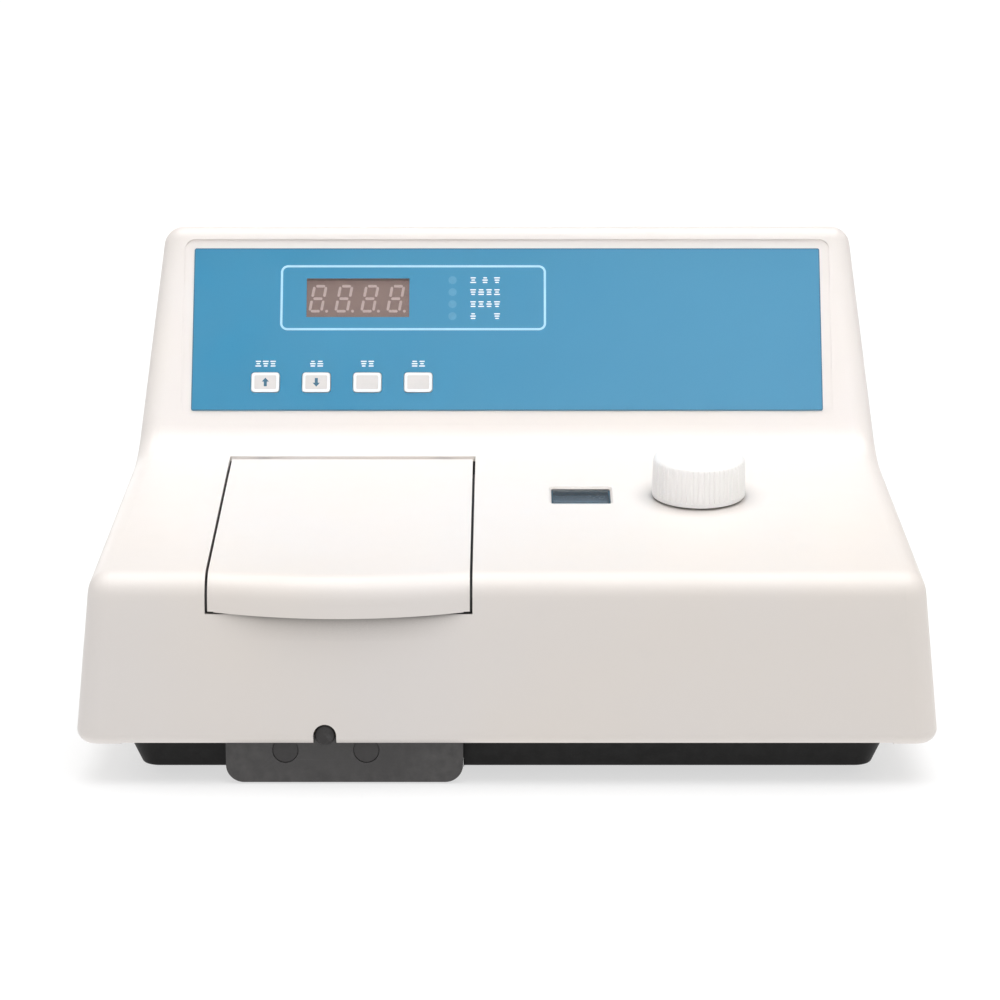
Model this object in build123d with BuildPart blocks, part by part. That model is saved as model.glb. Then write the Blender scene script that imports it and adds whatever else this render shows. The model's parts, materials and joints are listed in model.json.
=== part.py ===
"""Visible-light spectrophotometer, built as separate pieces in one frame.

Millimetres, +Z up, -Y towards the user. The origin is on the bench, under the middle of the object.
Three planes carry most of the work: DECK is the sloping top where the lid and the wavelength knob
are, CONSOLE is the steep face behind it with the display and the keys, and Plane.XY is the bench.
"""

import os
from math import acos, cos, pi, radians, sin, tan

from build123d import *

os.makedirs("parts", exist_ok=True)

# --- Driving dimensions: the casing's outer form -------------------------------------------------
WIDTH = 384.4  # across the casing's lower rim, at the front
DEPTH = 294.0  # from the lid's lip to the back wall
LIP_REACH = 4.0  # how far the lid's lip stands in front of the casing
FRONT_Y = -DEPTH / 2 + LIP_REACH
BACK_Y = DEPTH / 2
RIM_Z = 18.0  # height of the casing's lower rim above the bench
FRONT_TOP = (FRONT_Y + 1.4, 94.7)  # where the front face meets the deck, (y, z)
DECK_SLOPE = 6.58  # degrees, rising to the back
DECK_LENGTH = 184.0
CONSOLE_TILT = 28.0  # degrees back from upright
CONSOLE_LENGTH = 114.4
TOP_FALL = 8.0  # degrees, falling to the back
BACK_LEAN = 2.0  # how far the back wall leans in at the top
SIDE_DRAFT = 5.4  # degrees, side walls leaning in with height
PLAN_TAPER = 1.2  # degrees, side walls closing towards the back
WALL = 2.5
EDGE_R = 10.0  # round along both sides of the casing
CREASE_R = 12.0  # round between front face and deck
FOOT_R = 23.0  # hollow round between deck and console
TOP_R = 8.0
RIM_R = 6.0  # round under each side of the rim

DECK = Plane(
    origin=(0, *FRONT_TOP),
    x_dir=(1, 0, 0),
    z_dir=(0, -sin(radians(DECK_SLOPE)), cos(radians(DECK_SLOPE))),
)
DECK_END = DECK.from_local_coords(Vector(0, DECK_LENGTH, 0))
CONSOLE = Plane(
    origin=(0, DECK_END.Y, DECK_END.Z),
    x_dir=(1, 0, 0),
    z_dir=(0, -cos(radians(CONSOLE_TILT)), sin(radians(CONSOLE_TILT))),
)
CONSOLE_END = CONSOLE.from_local_coords(Vector(0, CONSOLE_LENGTH, 0))

# --- Lid, on the deck (x, then distance up the deck, then height over it) --------------------------
LID_LEFT, LID_RIGHT = -132.0, -16.4
LID_BACK = 171.6
LID_SKIRT_Z = 79.5  # lower edge of the lid's skirt at its two ends
LID_SKIRT_DROP = 2.2  # how much lower the edge runs in the middle
LID_GAP = 1.2  # at each side
LID_BACK_GAP = 0.8
HINGE_R = 4.6  # round nose of the lid's back edge, about the hinge axis
HINGE_S = LID_BACK - HINGE_R
PIN_R = 1.25
LID_MID = (LID_LEFT + LID_RIGHT) / 2

# --- Cell compartment and its slide ------------------------------------------------------------
WELL_LEFT, WELL_RIGHT = -122.0, -22.5
WELL_FRONT, WELL_BACK = -129.0, 6.0
WELL_STEP_Y = -139.4  # front of the low step below the casing
WELL_STEP_Z = 19.0
WELL_BOTTOM = 0.8
WELL_WALL = 3.0
WELL_MID = (WELL_LEFT + WELL_RIGHT) / 2
FLANGE_N = -6.0  # top of the compartment's flange, below the deck's outer face
FLANGE_T = 2.5
ROD_X, ROD_Z = -80.8, 23.0
ROD_R = 2.5
BEAM_Y, BEAM_Z = -64.0, 52.0
CELL_PITCH = 16.0
CELL_COUNT = 4
CELL_SLOT = 12.7
CELL_FLOOR = BEAM_Z - 15.0
RAIL_R = 3.0
RUNNING = 0.05  # radial clearance of a shaft in its bush

# --- Wavelength drive, on the deck ---------------------------------------------------------------
KNOB_X, KNOB_S = 89.4, 113.3
KNOB_R, KNOB_TOP_R, KNOB_H = 21.7, 21.3, 20.0
KNOB_LIFT = 0.7
KNOB_FLUTES = 54
DIAL_R = 72.0
DIAL_N = -6.5
WINDOW_X, WINDOW_S = 34.5, 114.1
WINDOW_W, WINDOW_L = 27.6, 23.4
GEAR_MODULE = 0.8
PINION_TEETH, SECTOR_TEETH = 18, 144
PRESSURE = radians(20)
BACKLASH = 0.16
PINION_PITCH_R = GEAR_MODULE * PINION_TEETH / 2
SECTOR_PITCH_R = GEAR_MODULE * SECTOR_TEETH / 2
AXLE_X = KNOB_X - PINION_PITCH_R - SECTOR_PITCH_R
SHAFT_R = 3.0

# --- Monochromator, parallel to the deck -----------------------------------------------------------
MONO_LEFT, MONO_RIGHT = -6.0, 160.0
MONO_FRONT, MONO_BACK = 50.0, 186.0
MONO_TOP, MONO_BOTTOM = -36.0, -76.0
MONO_WALL = 3.0
MONO_FLOOR = MONO_BOTTOM + 4.0
BEAM_LOCAL = DECK.to_local_coords(Vector(0, BEAM_Y, BEAM_Z))
LAMP_X = 12.0

# --- Console -----------------------------------------------------------------------------------
PANEL_W, PANEL_H, PANEL_S = 307.0, 83.4, 61.3
RECESS_MARGIN = 4.7
RECESS_DEPTH = 0.8
PANEL_R = 1.0
FILM_T = 0.5
DISPLAY_X, DISPLAY_S = -73.0, 77.4
DISPLAY_W, DISPLAY_H = 50.3, 20.0
LED_X = -26.7
LED_S = [67.9, 74.1, 80.3, 86.5]
KEY_X = [-117.6, -92.8, -68.0, -43.2]
KEY_S = 33.9
KEY_W, KEY_H, KEY_R = 13.6, 10.0, 1.6
KEY_NAMES = ["key_up", "key_down", "key_print", "key_mode"]
KEY_GAP = 0.3
BOARD_N = -11.0

# --- Base --------------------------------------------------------------------------------------
TRAY_Z = 4.5
TRAY_T = 2.0
TRAY_W, TRAY_FRONT, TRAY_BACK = 327.0, -126.0, 129.0
TRAY_FLARE = 25.0  # degrees, tray wall leaning out
TRAY_CUT = 0.3  # clearance of the tray round the compartment
FEET = [(-137.5, -100.0), (134.7, -84.0), (-134.7, 106.0), (134.7, 106.0)]
FEET_R, FEET_TAPER = 8.5, 8.0
LUGS = [(-177.0, -112.0), (177.0, -112.0), (-176.5, 116.0), (176.5, 116.0)]

# --- Small shared sizes ---------------------------------------------------------------------------
MARGIN = 1.0  # how far a cutting shape runs past what it cuts, and the clearance round a screw head
NEAR = 0.01  # how close an edge has to be to a level to count as on it
TALL = 250.0  # more than the object's height
RIM_OPEN = 171.6  # half width of the open underside, inside the turned-in rim
FRONT_LEAN = (FRONT_TOP[0] - FRONT_Y) / (FRONT_TOP[1] - RIM_Z)
LIP_CLEAR = 0.5
LIP_S = 40.0  # where the lid's bowed front meets its flat top
LIP_LOW_Z = LID_SKIRT_Z - 2 * LID_SKIRT_DROP
LIP_BOW = (LIP_REACH + FRONT_LEAN * (LID_SKIRT_Z - LID_SKIRT_DROP - RIM_Z)) / cos(radians(DECK_SLOPE))
LIP_TURN_R = (LID_RIGHT - LID_LEFT) ** 2 / (8 * LIP_BOW) + LIP_BOW / 2
LIP_TURN = 13.0  # degrees to each side of the middle
SHIELD_DROP, SHIELD_S, SHIELD_W, SHIELD_L = 12.0, 79.5, 94.5, 127.0
BRACKET_X = (LID_LEFT + 14, LID_RIGHT - 14)
BRACKET_W, BRACKET_GAP = 6.0, 0.4
POCKET_R, POCKET_SKIN = 3.95, 0.7
EYE_R, ARM_HALF = 3.4, 2.5
WELL_R, WELL_FLOOR = 8.0, 6.0
APRON_IN, APRON_S, APRON_BEVEL, APRON_Z = 4.3, 6.3, 4.0, 70.0
FLANGE_BACK, FLANGE_OUT, RIB_OUT = 177.0, 9.0, 2.5
TROUGH_S, TROUGH_N = 156.0, -9.9
GASKET_S, GASKET_W, GASKET_L, GASKET_T, GASKET_H = 80.5, 107.5, 143.0, 3.0, 2.9
ARCH_R, BEAM_R = 5.1, 5.0
ROD_BUSH_R = 4.5
RAIL_X, RAIL_Z = (-106.0, -55.6), 24.0
RAIL_L = WELL_BACK - WELL_FRONT + 2 * WELL_WALL
POCKET_X, POCKET_Z, POCKET_HOLE_R, POCKET_DEPTH, POCKET_SCREW_L = (-98.5, -62.5), 15.5, 5.8, 5.0, 5.0
SCREW_R, HEAD_R, HEAD_H, SLOT_W, SLOT_D = 1.75, 3.2, 2.2, 0.9, 1.1
WINDOW_R, BEVEL, PANE_T, PANE_LAP = 1.5, 1.0, 1.5, 3.0
BUSH_R, BUSH_HEAD_R = 5.5, 8.0
RECESS_R, LED_R = 5.0, 1.5
BOARD_BOSSES = [(x, s) for x in (-131.0, -16.0) for s in (22.0, 95.0)]
BOSS_R = 3.0
BACK = Plane(
    origin=(0, BACK_Y, RIM_Z),
    x_dir=(-1, 0, 0),
    z_dir=(0, CONSOLE_END.Z - (BACK_Y - CONSOLE_END.Y) * tan(radians(TOP_FALL)) - RIM_Z, BACK_LEAN),
)
BACK_PANEL_V, BACK_OPEN_W, BACK_OPEN_H = 56.0, 280.0, 84.0
BACK_PANEL_W, BACK_PANEL_H, BACK_PANEL_T = 300.0, 96.0, 1.5
BACK_SCREWS = [(u, v) for u in (-145.0, 145.0) for v in (26.0, 86.0)] + [(0, 101.0), (0, 11.0)]
TRAY_R, TRAY_TOP_Z, TRAY_WING_IN, TRAY_WING_OUT = 8.0, 20.5, 167.0, 181.0
FOOT_SEAT, FOOT_SCREW_L = 2.4, 6.5
RACK_SIDE, RACK_HALF, RACK_DECK_Z, CELL_HOLD, RACK_BEAM_R = 6.0, 9.4, 31.0, 30.0, 4.0
HOLDER_SEAM = 0.05  # between the plates of the cell holder
ROD_KNOB_Y, ROD_KNOB_L, ROD_KNOB_R, ROD_GRIP = -138.4, 6.0, 4.5, 6.0
ROD_BUSH_L, ROD_BUSH_HEAD_T = 6.0, 1.0
KNOB_BASE, KNOB_ROUND, FLUTE_R = 2.0, 4.2, 0.5
SHAFT_TOP, SHAFT_LOW = 15.0, -36.0
BUSH_HEAD_T = 2.0
DIAL_T, DIAL_HUB_R, DIAL_HUB_L, DIAL_HOLES = 1.5, 8.0, 6.0, 6
HAIRLINE_W = 0.35
ROOT_DEPTH, FLANK_STEPS = 1.25, 5
GEAR_N, GEAR_T, GEAR_STEP, GEAR_HUB_R = -22.0, 6.0, 1.0, 8.0
SECTOR_SPAN = 11  # teeth on each side of the sector's middle
AXLE_LOW = -70.0
TABLE_N, TABLE_R, TABLE_T = -64.0, 18.0, 3.0
GRATING_W, GRATING_H, GRATING_T = 26.0, 20.0, 4.0
COVER_T, COVER_BOSS, POST_IN = 2.5, 5.0, 14.0
SLIT_HALF, SLIT_T = 8.0, 1.2
MIRROR_T, MIRROR_H = 5.0, 32.0
# (x, distance up the deck, turn of the face's normal from +X, width) of each mirror
MIRRORS = [(142.0, 150.0, 189.0, 34.0), (142.0, 72.2, 170.2, 34.0), (LAMP_X, 150.0, 45.0, 20.0)]
BOARD_T = 1.6
DISPLAY_IN = 0.5  # how much smaller the display's block is than its window, above and below
DIGITS, DIGIT_PITCH, DIGIT_W, DIGIT_H, DIGIT_SHIFT = 4, 12.7, 7.0, 14.2, 0.6
SEGMENT_T, SEGMENT_W, SEGMENT_R, SLANT = 0.2, 1.3, 0.62, 10.0
POINT_R, POINT_OUT = 0.7, 0.8
DISPLAY_FACE_N = -1.9
LAMP_HOUSE = (-20.0, 44.0, 58.0, 122.0)
LAMP_HOUSE_TOP = 112.0
LAMP_SLOTS, LAMP_SLOT_PITCH, LAMP_SLOT_L = 6, 8.0, 44.0
TRANSFORMER_AT = (-116.0, 76.0)
CORE_W, CORE_D, CORE_H, CORE_LIMB, CORE_FOOT_W, CORE_FOOT_T = 60.0, 26.0, 50.0, 14.0, 76.0, 4.0
COIL_W, COIL_D, COIL_H, COIL_R, COIL_LIFT, COIL_CLEAR = 30.0, 48.0, 30.0, 6.0, 14.0, 0.02
MAIN_BOARD_AT = (112.0, 90.0)
MAIN_BOARD_W, MAIN_BOARD_D, MAIN_BOARD_LIFT, MAIN_BOARD_EDGE = 84.0, 60.0, 8.0, 4.0
# (x, y, radius, height) of each capacitor, from the middle of the board
CAPACITORS = [
    (-30.0, 14.0, 8.0, 26.0),
    (-12.0, 16.0, 6.0, 20.0),
    (30.0, 18.0, 5.0, 16.0),
    (2.0, 18.0, 4.0, 12.0),
]
# (x, y, width, depth) of each chip, from the middle of the board
CHIPS = [(-22.0, -12.0, 24.0, 8.0), (8.0, -14.0, 14.0, 14.0), (32.0, -10.0, 10.0, 24.0)]
CHIP_H = 4.0
KEY_BACK_N, KEY_FLANGE, KEY_FLANGE_T, KEY_TOP_N, KEY_ROUND = -5.2, 2.25, 1.2, 0.0, 0.3
CONSOLE_OUT = Axis((0, 0, 0), CONSOLE.z_dir)
DECK_OUT = Axis((0, 0, 0), DECK.z_dir)
SWITCH_W, SWITCH_H, SWITCH_R, SWITCH_NIB = 6.0, 3.6, 0.75, 1.2
SHEET, LENS_R, LENS_MID, LENS_EDGE, LENS_GAP = 1.5, 9.0, 3.4, 0.9, 12.0
BULB_BACK, BULB_R, BULB_L, BULB_SEAT, SMALL_R = 26.0, 5.0, 22.0, 4.0, 2.0
DETECTOR_L, DETECTOR_HALF, CAN_RIM = 32.0, 15.0, 1.0
VENT_SLOT_W, VENT_SLOT_L, VENT_COLUMNS, VENT_PITCH, VENT_ROW = 3.0, 28.0, 9, 6.5, 34.0
FACE_T = 2.0  # thickness of the flanges of the plug and the switch
INLET_U, INLET_V, INLET_BODY_W, INLET_BODY_H, INLET_DEPTH = 112.0, 34.0, 27.6, 20.2, 18.0
INLET_LAP_W, INLET_LAP_H, INLET_MOUTH_W, INLET_MOUTH_H, INLET_CORNER = 8.0, 6.0, 24.2, 16.6, 4.5
BLADES, BLADE_W, BLADE_H, BLADE_SHORT = [(-7.0, -1.3), (7.0, -1.3), (0.0, 2.7)], 2.0, 4.0, 4.0
SWITCH_V, ROCKER_W, ROCKER_H, SWITCH_DEPTH = 66.0, 12.0, 18.0, 16.0
SWITCH_LAP, SWITCH_BODY, ROCKER_GAP = 8.0, 4.0, 0.3
ROCKER_N, ROCKER_TILT, ROCKER_DEEP, ROCKER_PROUD, ROCKER_DISH = -6.0, 9.0, 6.0, 6.0, 1.6
ROCKER_ROOT, ROCKER_TIP = 0.3, 0.43  # half height of the rocker at its root and its tip, over ROCKER_H
PIVOT_R, PIVOT_REACH, PIVOT_END = 1.2, 1.2, 0.2
PORT_U, PORT_W, PORT_H = -96.0, 18.0, 9.0
PORT_LAP_W, PORT_LAP_H, PORT_LAP_T, PORT_DEPTH = 14.0, 3.0, 1.0, 8.0
PORT_SHELL_IN, PORT_SHELL_T, PORT_SHELL_L, PORT_SLANT = 1.0, 0.7, 6.0, 80.0


def save(piece, name):
    """Labels a finished piece and writes it as its own STEP file."""
    piece.part.label = name
    export_step(piece.part, f"parts/{name}.step")


def lip_face(z):
    """y of the casing's front face at height z, over the round of the crease as well."""
    flat_y = FRONT_Y + (z - RIM_Z) * FRONT_LEAN
    centre_y = FRONT_TOP[0] + CREASE_R
    centre_z = FRONT_TOP[1] - CREASE_R * (1 - sin(radians(DECK_SLOPE)))
    if z <= centre_z:
        return flat_y
    return max(flat_y, centre_y - (CREASE_R**2 - (z - centre_z) ** 2) ** 0.5)


def on_deck(s, n):
    """(y, z) of a point at distance s up the deck and height n over it."""
    point = DECK.from_local_coords(Vector(0, s, n))
    return point.Y, point.Z


# --- Casing form, shared by the casing and the lid ---------------------------------------------------
def casing_profile(bottom):
    """Corners of the casing in side view, (y, z), with the walls run down to bottom."""
    lean = (FRONT_TOP[0] - FRONT_Y) / (FRONT_TOP[1] - RIM_Z)
    back_top_z = CONSOLE_END.Z - (BACK_Y - CONSOLE_END.Y) * tan(radians(TOP_FALL))
    back_lean = BACK_LEAN / (back_top_z - RIM_Z)
    return [
        (FRONT_Y - (RIM_Z - bottom) * lean, bottom),
        FRONT_TOP,
        (DECK_END.Y, DECK_END.Z),
        (CONSOLE_END.Y, CONSOLE_END.Z),
        (BACK_Y - BACK_LEAN, back_top_z),
        (BACK_Y + (RIM_Z - bottom) * back_lean, bottom),
    ]


def side_plane(side, inset):
    """Outer face of one side wall, moved in by inset. side is +1 for the right, -1 for the left."""
    face = Plane(
        origin=(side * WIDTH / 2, FRONT_Y, RIM_Z),
        z_dir=(side, tan(radians(PLAN_TAPER)), tan(radians(SIDE_DRAFT))),
    )
    return face.offset(-inset)


def casing_block(inset=0.0, reach_down=0.0):
    """The casing's form as one solid, moved in by inset and run down past the rim by reach_down."""
    corners = casing_profile(RIM_Z - reach_down - inset)
    radii = [CREASE_R, FOOT_R, TOP_R, TOP_R]
    with BuildPart() as block:
        with BuildSketch(Plane.YZ) as profile:
            with BuildLine():
                Polyline(*corners, close=True)
            make_face()
            for corner, radius in zip(corners[1:5], radii):
                nearest = profile.vertices().sort_by_distance(Vector(*corner, 0))[0]
                fillet(nearest, radius)
            if inset:
                offset(amount=-inset, kind=Kind.INTERSECTION)
        extrude(amount=WIDTH / 2 + 2 * WALL, both=True)
        for side in (1, -1):
            split(bisect_by=side_plane(side, inset), keep=Keep.BOTTOM)
        for end in (-1, 0):
            wall = block.faces().sort_by(Axis.X)[end]
            seam = wall.edges().sort_by(Axis.Z)[1:]
            fillet(seam, EDGE_R - inset)
    return block.part


def prism(corners, low_x, high_x):
    """A side-view outline in (y, z), extruded from low_x to high_x."""
    with BuildPart() as made:
        with BuildSketch(Plane.YZ.offset(low_x)):
            with BuildLine():
                Polyline(*corners, close=True)
            make_face()
        extrude(amount=high_x - low_x)
    return made.part


def deck_box(low_x, high_x, low_s, high_s, low_n, high_n):
    """A box square to the deck."""
    with BuildPart() as made:
        with BuildSketch(DECK.offset(low_n)):
            with Locations(((low_x + high_x) / 2, (low_s + high_s) / 2)):
                Rectangle(high_x - low_x, high_s - low_s)
        extrude(amount=high_n - low_n)
    return made.part


def upright_box(low_x, high_x, low_y, high_y, low_z, high_z):
    """A box square to the bench."""
    with BuildPart() as made:
        with BuildSketch(Plane.XY.offset(low_z)):
            with Locations(((low_x + high_x) / 2, (low_y + high_y) / 2)):
                Rectangle(high_x - low_x, high_y - low_y)
        extrude(amount=high_z - low_z)
    return made.part


def block_at(x, y, wide, deep, low_z, high_z):
    """A box square to the bench, with its middle over a point."""
    return upright_box(x - wide / 2, x + wide / 2, y - deep / 2, y + deep / 2, low_z, high_z)


def rod(plane, radius, length):
    """A plain cylinder standing on a plane."""
    with BuildPart() as made:
        with BuildSketch(plane):
            Circle(radius)
        extrude(amount=length)
    return made.part


def deck_spot(x, s, n):
    """A plane parallel to the deck with its origin at a point given on the deck."""
    return Plane(origin=DECK.from_local_coords(Vector(x, s, n)), x_dir=(1, 0, 0), z_dir=DECK.z_dir)


def up_deck(x, s, n):
    """A plane whose normal points up along the deck, with its origin at a point given on the deck."""
    return Plane(origin=DECK.from_local_coords(Vector(x, s, n)), x_dir=(1, 0, 0), z_dir=DECK.y_dir)


def across(x, y, z):
    """A plane whose normal points to the right, with its origin at a point."""
    return Plane(origin=(x, y, z), x_dir=(0, 1, 0), z_dir=(1, 0, 0))


def bowed_front(shell):
    """The lid's front: the shell's own crease and face, turned about a far axis so that it bows outward."""
    kept = prism(
        [
            (2 * FRONT_Y, LIP_LOW_Z),
            (FRONT_Y + 2 * WALL, LIP_LOW_Z),
            on_deck(2 * WALL, -2 * WALL),
            on_deck(LIP_S + 2 * LIP_BOW, -2 * WALL),
            on_deck(LIP_S + 2 * LIP_BOW, 2 * WALL),
            on_deck(2 * FRONT_Y, 2 * WALL),
        ],
        LID_MID,
        LID_RIGHT,
    )
    profile = (shell & kept).faces().sort_by(Axis.X)[0].moved(Location(-LIP_BOW * DECK.y_dir))
    far_axis = Axis(DECK.from_local_coords(Vector(LID_MID, LIP_TURN_R - LIP_BOW, 0)), DECK.z_dir)
    turned = revolve(profile, axis=far_axis, revolution_arc=2 * LIP_TURN).rotate(far_axis, -LIP_TURN)
    return turned & upright_box(LID_LEFT, LID_RIGHT, 2 * FRONT_Y, 0, LIP_LOW_Z, 2 * FRONT_TOP[1])


def along(x, y, z):
    """A plane whose normal points to the back, with its origin at a point."""
    return Plane(origin=(x, y, z), x_dir=(-1, 0, 0), z_dir=(0, 1, 0))


def slot_cut(plane):
    """The driver slot of a screw head whose top is on a plane, cut towards the plane's normal."""
    with BuildPart() as cut:
        with BuildSketch(plane):
            Rectangle(3 * HEAD_R, SLOT_W)
        extrude(amount=SLOT_D)
    return cut.part


OUTER = casing_block()
INNER = casing_block(WALL, RIM_Z)
HINGE = DECK.from_local_coords(Vector(0, HINGE_S, -HINGE_R))

# --- Casing: moulded cover with a turned-in rim, cut out for the lid, window, keys and plugs --------
with BuildPart() as casing:
    add(OUTER)
    rim_sides = casing.edges().filter_by(lambda edge: edge.center().Z < RIM_Z + NEAR)
    rim_sides = rim_sides.filter_by(lambda edge: abs(edge.center().X) > WIDTH / 2 - RIM_R)
    fillet(rim_sides.filter_by(lambda edge: edge.length > DEPTH / 2), RIM_R)
    add(INNER & upright_box(-WIDTH, WIDTH, -DEPTH, DEPTH, RIM_Z + WALL, TALL), mode=Mode.SUBTRACT)
    add(INNER & upright_box(-RIM_OPEN, RIM_OPEN, -DEPTH, DEPTH, 0, TALL), mode=Mode.SUBTRACT)
    # Pad behind the console, so that the recess in front of it leaves a full wall.
    with BuildSketch(CONSOLE.offset(-WALL)):
        with Locations((0, PANEL_S)):
            Rectangle(PANEL_W, PANEL_H)
    extrude(amount=-RECESS_DEPTH)
    # Opening for the lid, wrapping over the crease and down the front.
    add(
        prism(
            [
                (FRONT_Y - LIP_REACH, LID_SKIRT_Z - LID_GAP),
                (FRONT_Y + 2 * WALL, LID_SKIRT_Z - LID_GAP),
                on_deck(2 * WALL, -2 * WALL),
                on_deck(LID_BACK + LID_BACK_GAP, -2 * WALL),
                on_deck(LID_BACK + LID_BACK_GAP, 2 * WALL),
                on_deck(-LIP_REACH, 2 * WALL),
            ],
            LID_LEFT - LID_GAP,
            LID_RIGHT + LID_GAP,
        ),
        mode=Mode.SUBTRACT,
    )
    # Arch over the pull rod.
    with BuildSketch(Plane.XZ.offset(-FRONT_Y + LIP_REACH)):
        with Locations((ROD_X, ROD_Z)):
            Circle(ARCH_R)
        with Locations((ROD_X, ROD_Z - ARCH_R)):
            Rectangle(2 * ARCH_R, 2 * ARCH_R)
    extrude(amount=-(LIP_REACH + 2 * WALL), mode=Mode.SUBTRACT)
    # Window over the wavelength dial, with a bevelled edge, and the hole for the knob's bush.
    with BuildSketch(DECK.offset(-WALL)):
        with Locations((WINDOW_X, WINDOW_S)):
            RectangleRounded(WINDOW_W, WINDOW_L, WINDOW_R)
    extrude(amount=2 * WALL, mode=Mode.SUBTRACT)
    with BuildSketch(DECK.offset(-BEVEL)):
        with Locations((WINDOW_X, WINDOW_S)):
            RectangleRounded(WINDOW_W, WINDOW_L, WINDOW_R)
    extrude(amount=2 * BEVEL, taper=-45, mode=Mode.SUBTRACT)
    add(rod(deck_spot(KNOB_X, KNOB_S, -2 * WALL), BUSH_R, 4 * WALL), mode=Mode.SUBTRACT)
    # Recess for the membrane panel, and the openings behind it.
    with BuildSketch(CONSOLE):
        with Locations((0, PANEL_S)):
            RectangleRounded(PANEL_W + 2 * RECESS_MARGIN, PANEL_H + 2 * RECESS_MARGIN, RECESS_R)
    extrude(amount=-RECESS_DEPTH, mode=Mode.SUBTRACT)
    with BuildSketch(CONSOLE):
        with Locations((DISPLAY_X, DISPLAY_S)):
            Rectangle(DISPLAY_W + 2 * KEY_GAP, DISPLAY_H + 2 * KEY_GAP)
        with Locations([(LED_X, s) for s in LED_S]):
            Circle(LED_R + KEY_GAP)
        with Locations([(x, KEY_S) for x in KEY_X]):
            RectangleRounded(KEY_W + 2 * KEY_GAP, KEY_H + 2 * KEY_GAP, KEY_R + KEY_GAP)
    extrude(amount=-3 * WALL, mode=Mode.SUBTRACT)
    # Bosses for the board behind the console.
    with BuildSketch(CONSOLE.offset(-WALL - RECESS_DEPTH)):
        with Locations(BOARD_BOSSES):
            Circle(BOSS_R)
    extrude(amount=BOARD_N + WALL + RECESS_DEPTH)
    # Opening in the back wall, and screw holes in the rim and round the back opening.
    with BuildSketch(BACK):
        with Locations((0, BACK_PANEL_V)):
            RectangleRounded(BACK_OPEN_W, BACK_OPEN_H, 2 * WALL)
        with Locations(BACK_SCREWS):
            Circle(SCREW_R)
    extrude(amount=-2 * WALL, mode=Mode.SUBTRACT)
    with BuildSketch(Plane.XY):
        with Locations(LUGS):
            Circle(SCREW_R)
    extrude(amount=RIM_Z + 2 * WALL, mode=Mode.SUBTRACT)
save(casing, "casing")

# --- Lid: a piece of the casing's form with a bowed lip, a light shield and hinge knuckles ------------
knuckle_reach = LID_RIGHT - LID_LEFT
lid_front = bowed_front(OUTER - INNER)
with BuildPart() as lid:
    add(OUTER - INNER)
    add(
        prism(
            [
                on_deck(LIP_S, -2 * WALL),
                on_deck(HINGE_S, -2 * WALL),
                on_deck(HINGE_S, 2 * WALL),
                on_deck(LIP_S, 2 * WALL),
            ],
            LID_LEFT,
            LID_RIGHT,
        ),
        mode=Mode.INTERSECT,
    )
    # Rolled back edge round the hinge pin.
    add(rod(across(LID_LEFT, HINGE.Y, HINGE.Z), HINGE_R, knuckle_reach))
    add(lid_front)
    # Lower edge of the lip, dropping towards the middle, clear of the casing behind it.
    lip_x = (LID_LEFT - MARGIN, LID_RIGHT + MARGIN)
    face_y = lip_face(LID_SKIRT_Z)
    add(upright_box(*lip_x, face_y - LIP_CLEAR, face_y + 2 * WALL, 0, LID_SKIRT_Z), mode=Mode.SUBTRACT)
    with BuildSketch(Plane.XZ.offset(-face_y - WALL)):
        with BuildLine():
            low_middle = (LID_MID, LID_SKIRT_Z - LID_SKIRT_DROP)
            ThreePointArc((lip_x[0], LID_SKIRT_Z), low_middle, (lip_x[1], LID_SKIRT_Z))
            Polyline(
                (lip_x[1], LID_SKIRT_Z),
                (lip_x[1], LIP_LOW_Z),
                (lip_x[0], LIP_LOW_Z),
                (lip_x[0], LID_SKIRT_Z),
            )
        make_face()
    extrude(amount=4 * LIP_REACH, both=True, mode=Mode.SUBTRACT)
    # Light shield hanging into the compartment.
    with BuildSketch(DECK.offset(-SHIELD_DROP)):
        with Locations((WELL_MID, SHIELD_S)):
            Rectangle(SHIELD_W, SHIELD_L)
            Rectangle(SHIELD_W - 2 * WALL, SHIELD_L - 2 * WALL, mode=Mode.SUBTRACT)
    extrude(amount=SHIELD_DROP - WALL)
    # Bore for the pin, and pockets for the hinge brackets.
    add(rod(across(LID_LEFT, HINGE.Y, HINGE.Z), PIN_R + RUNNING, knuckle_reach), mode=Mode.SUBTRACT)
    for x in BRACKET_X:
        low_x = x - BRACKET_W / 2 - BRACKET_GAP
        high_x = x + BRACKET_W / 2 + BRACKET_GAP
        pocket_back = LID_BACK + MARGIN
        add(rod(across(low_x, HINGE.Y, HINGE.Z), POCKET_R, high_x - low_x), mode=Mode.SUBTRACT)
        for low_s, high_n in ((HINGE_S + ARM_HALF, -POCKET_SKIN), (HINGE_S - HINGE_R - MARGIN, -HINGE_R)):
            add(deck_box(low_x, high_x, low_s, pocket_back, -3 * HINGE_R, high_n), mode=Mode.SUBTRACT)
save(lid, "lid")

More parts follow.
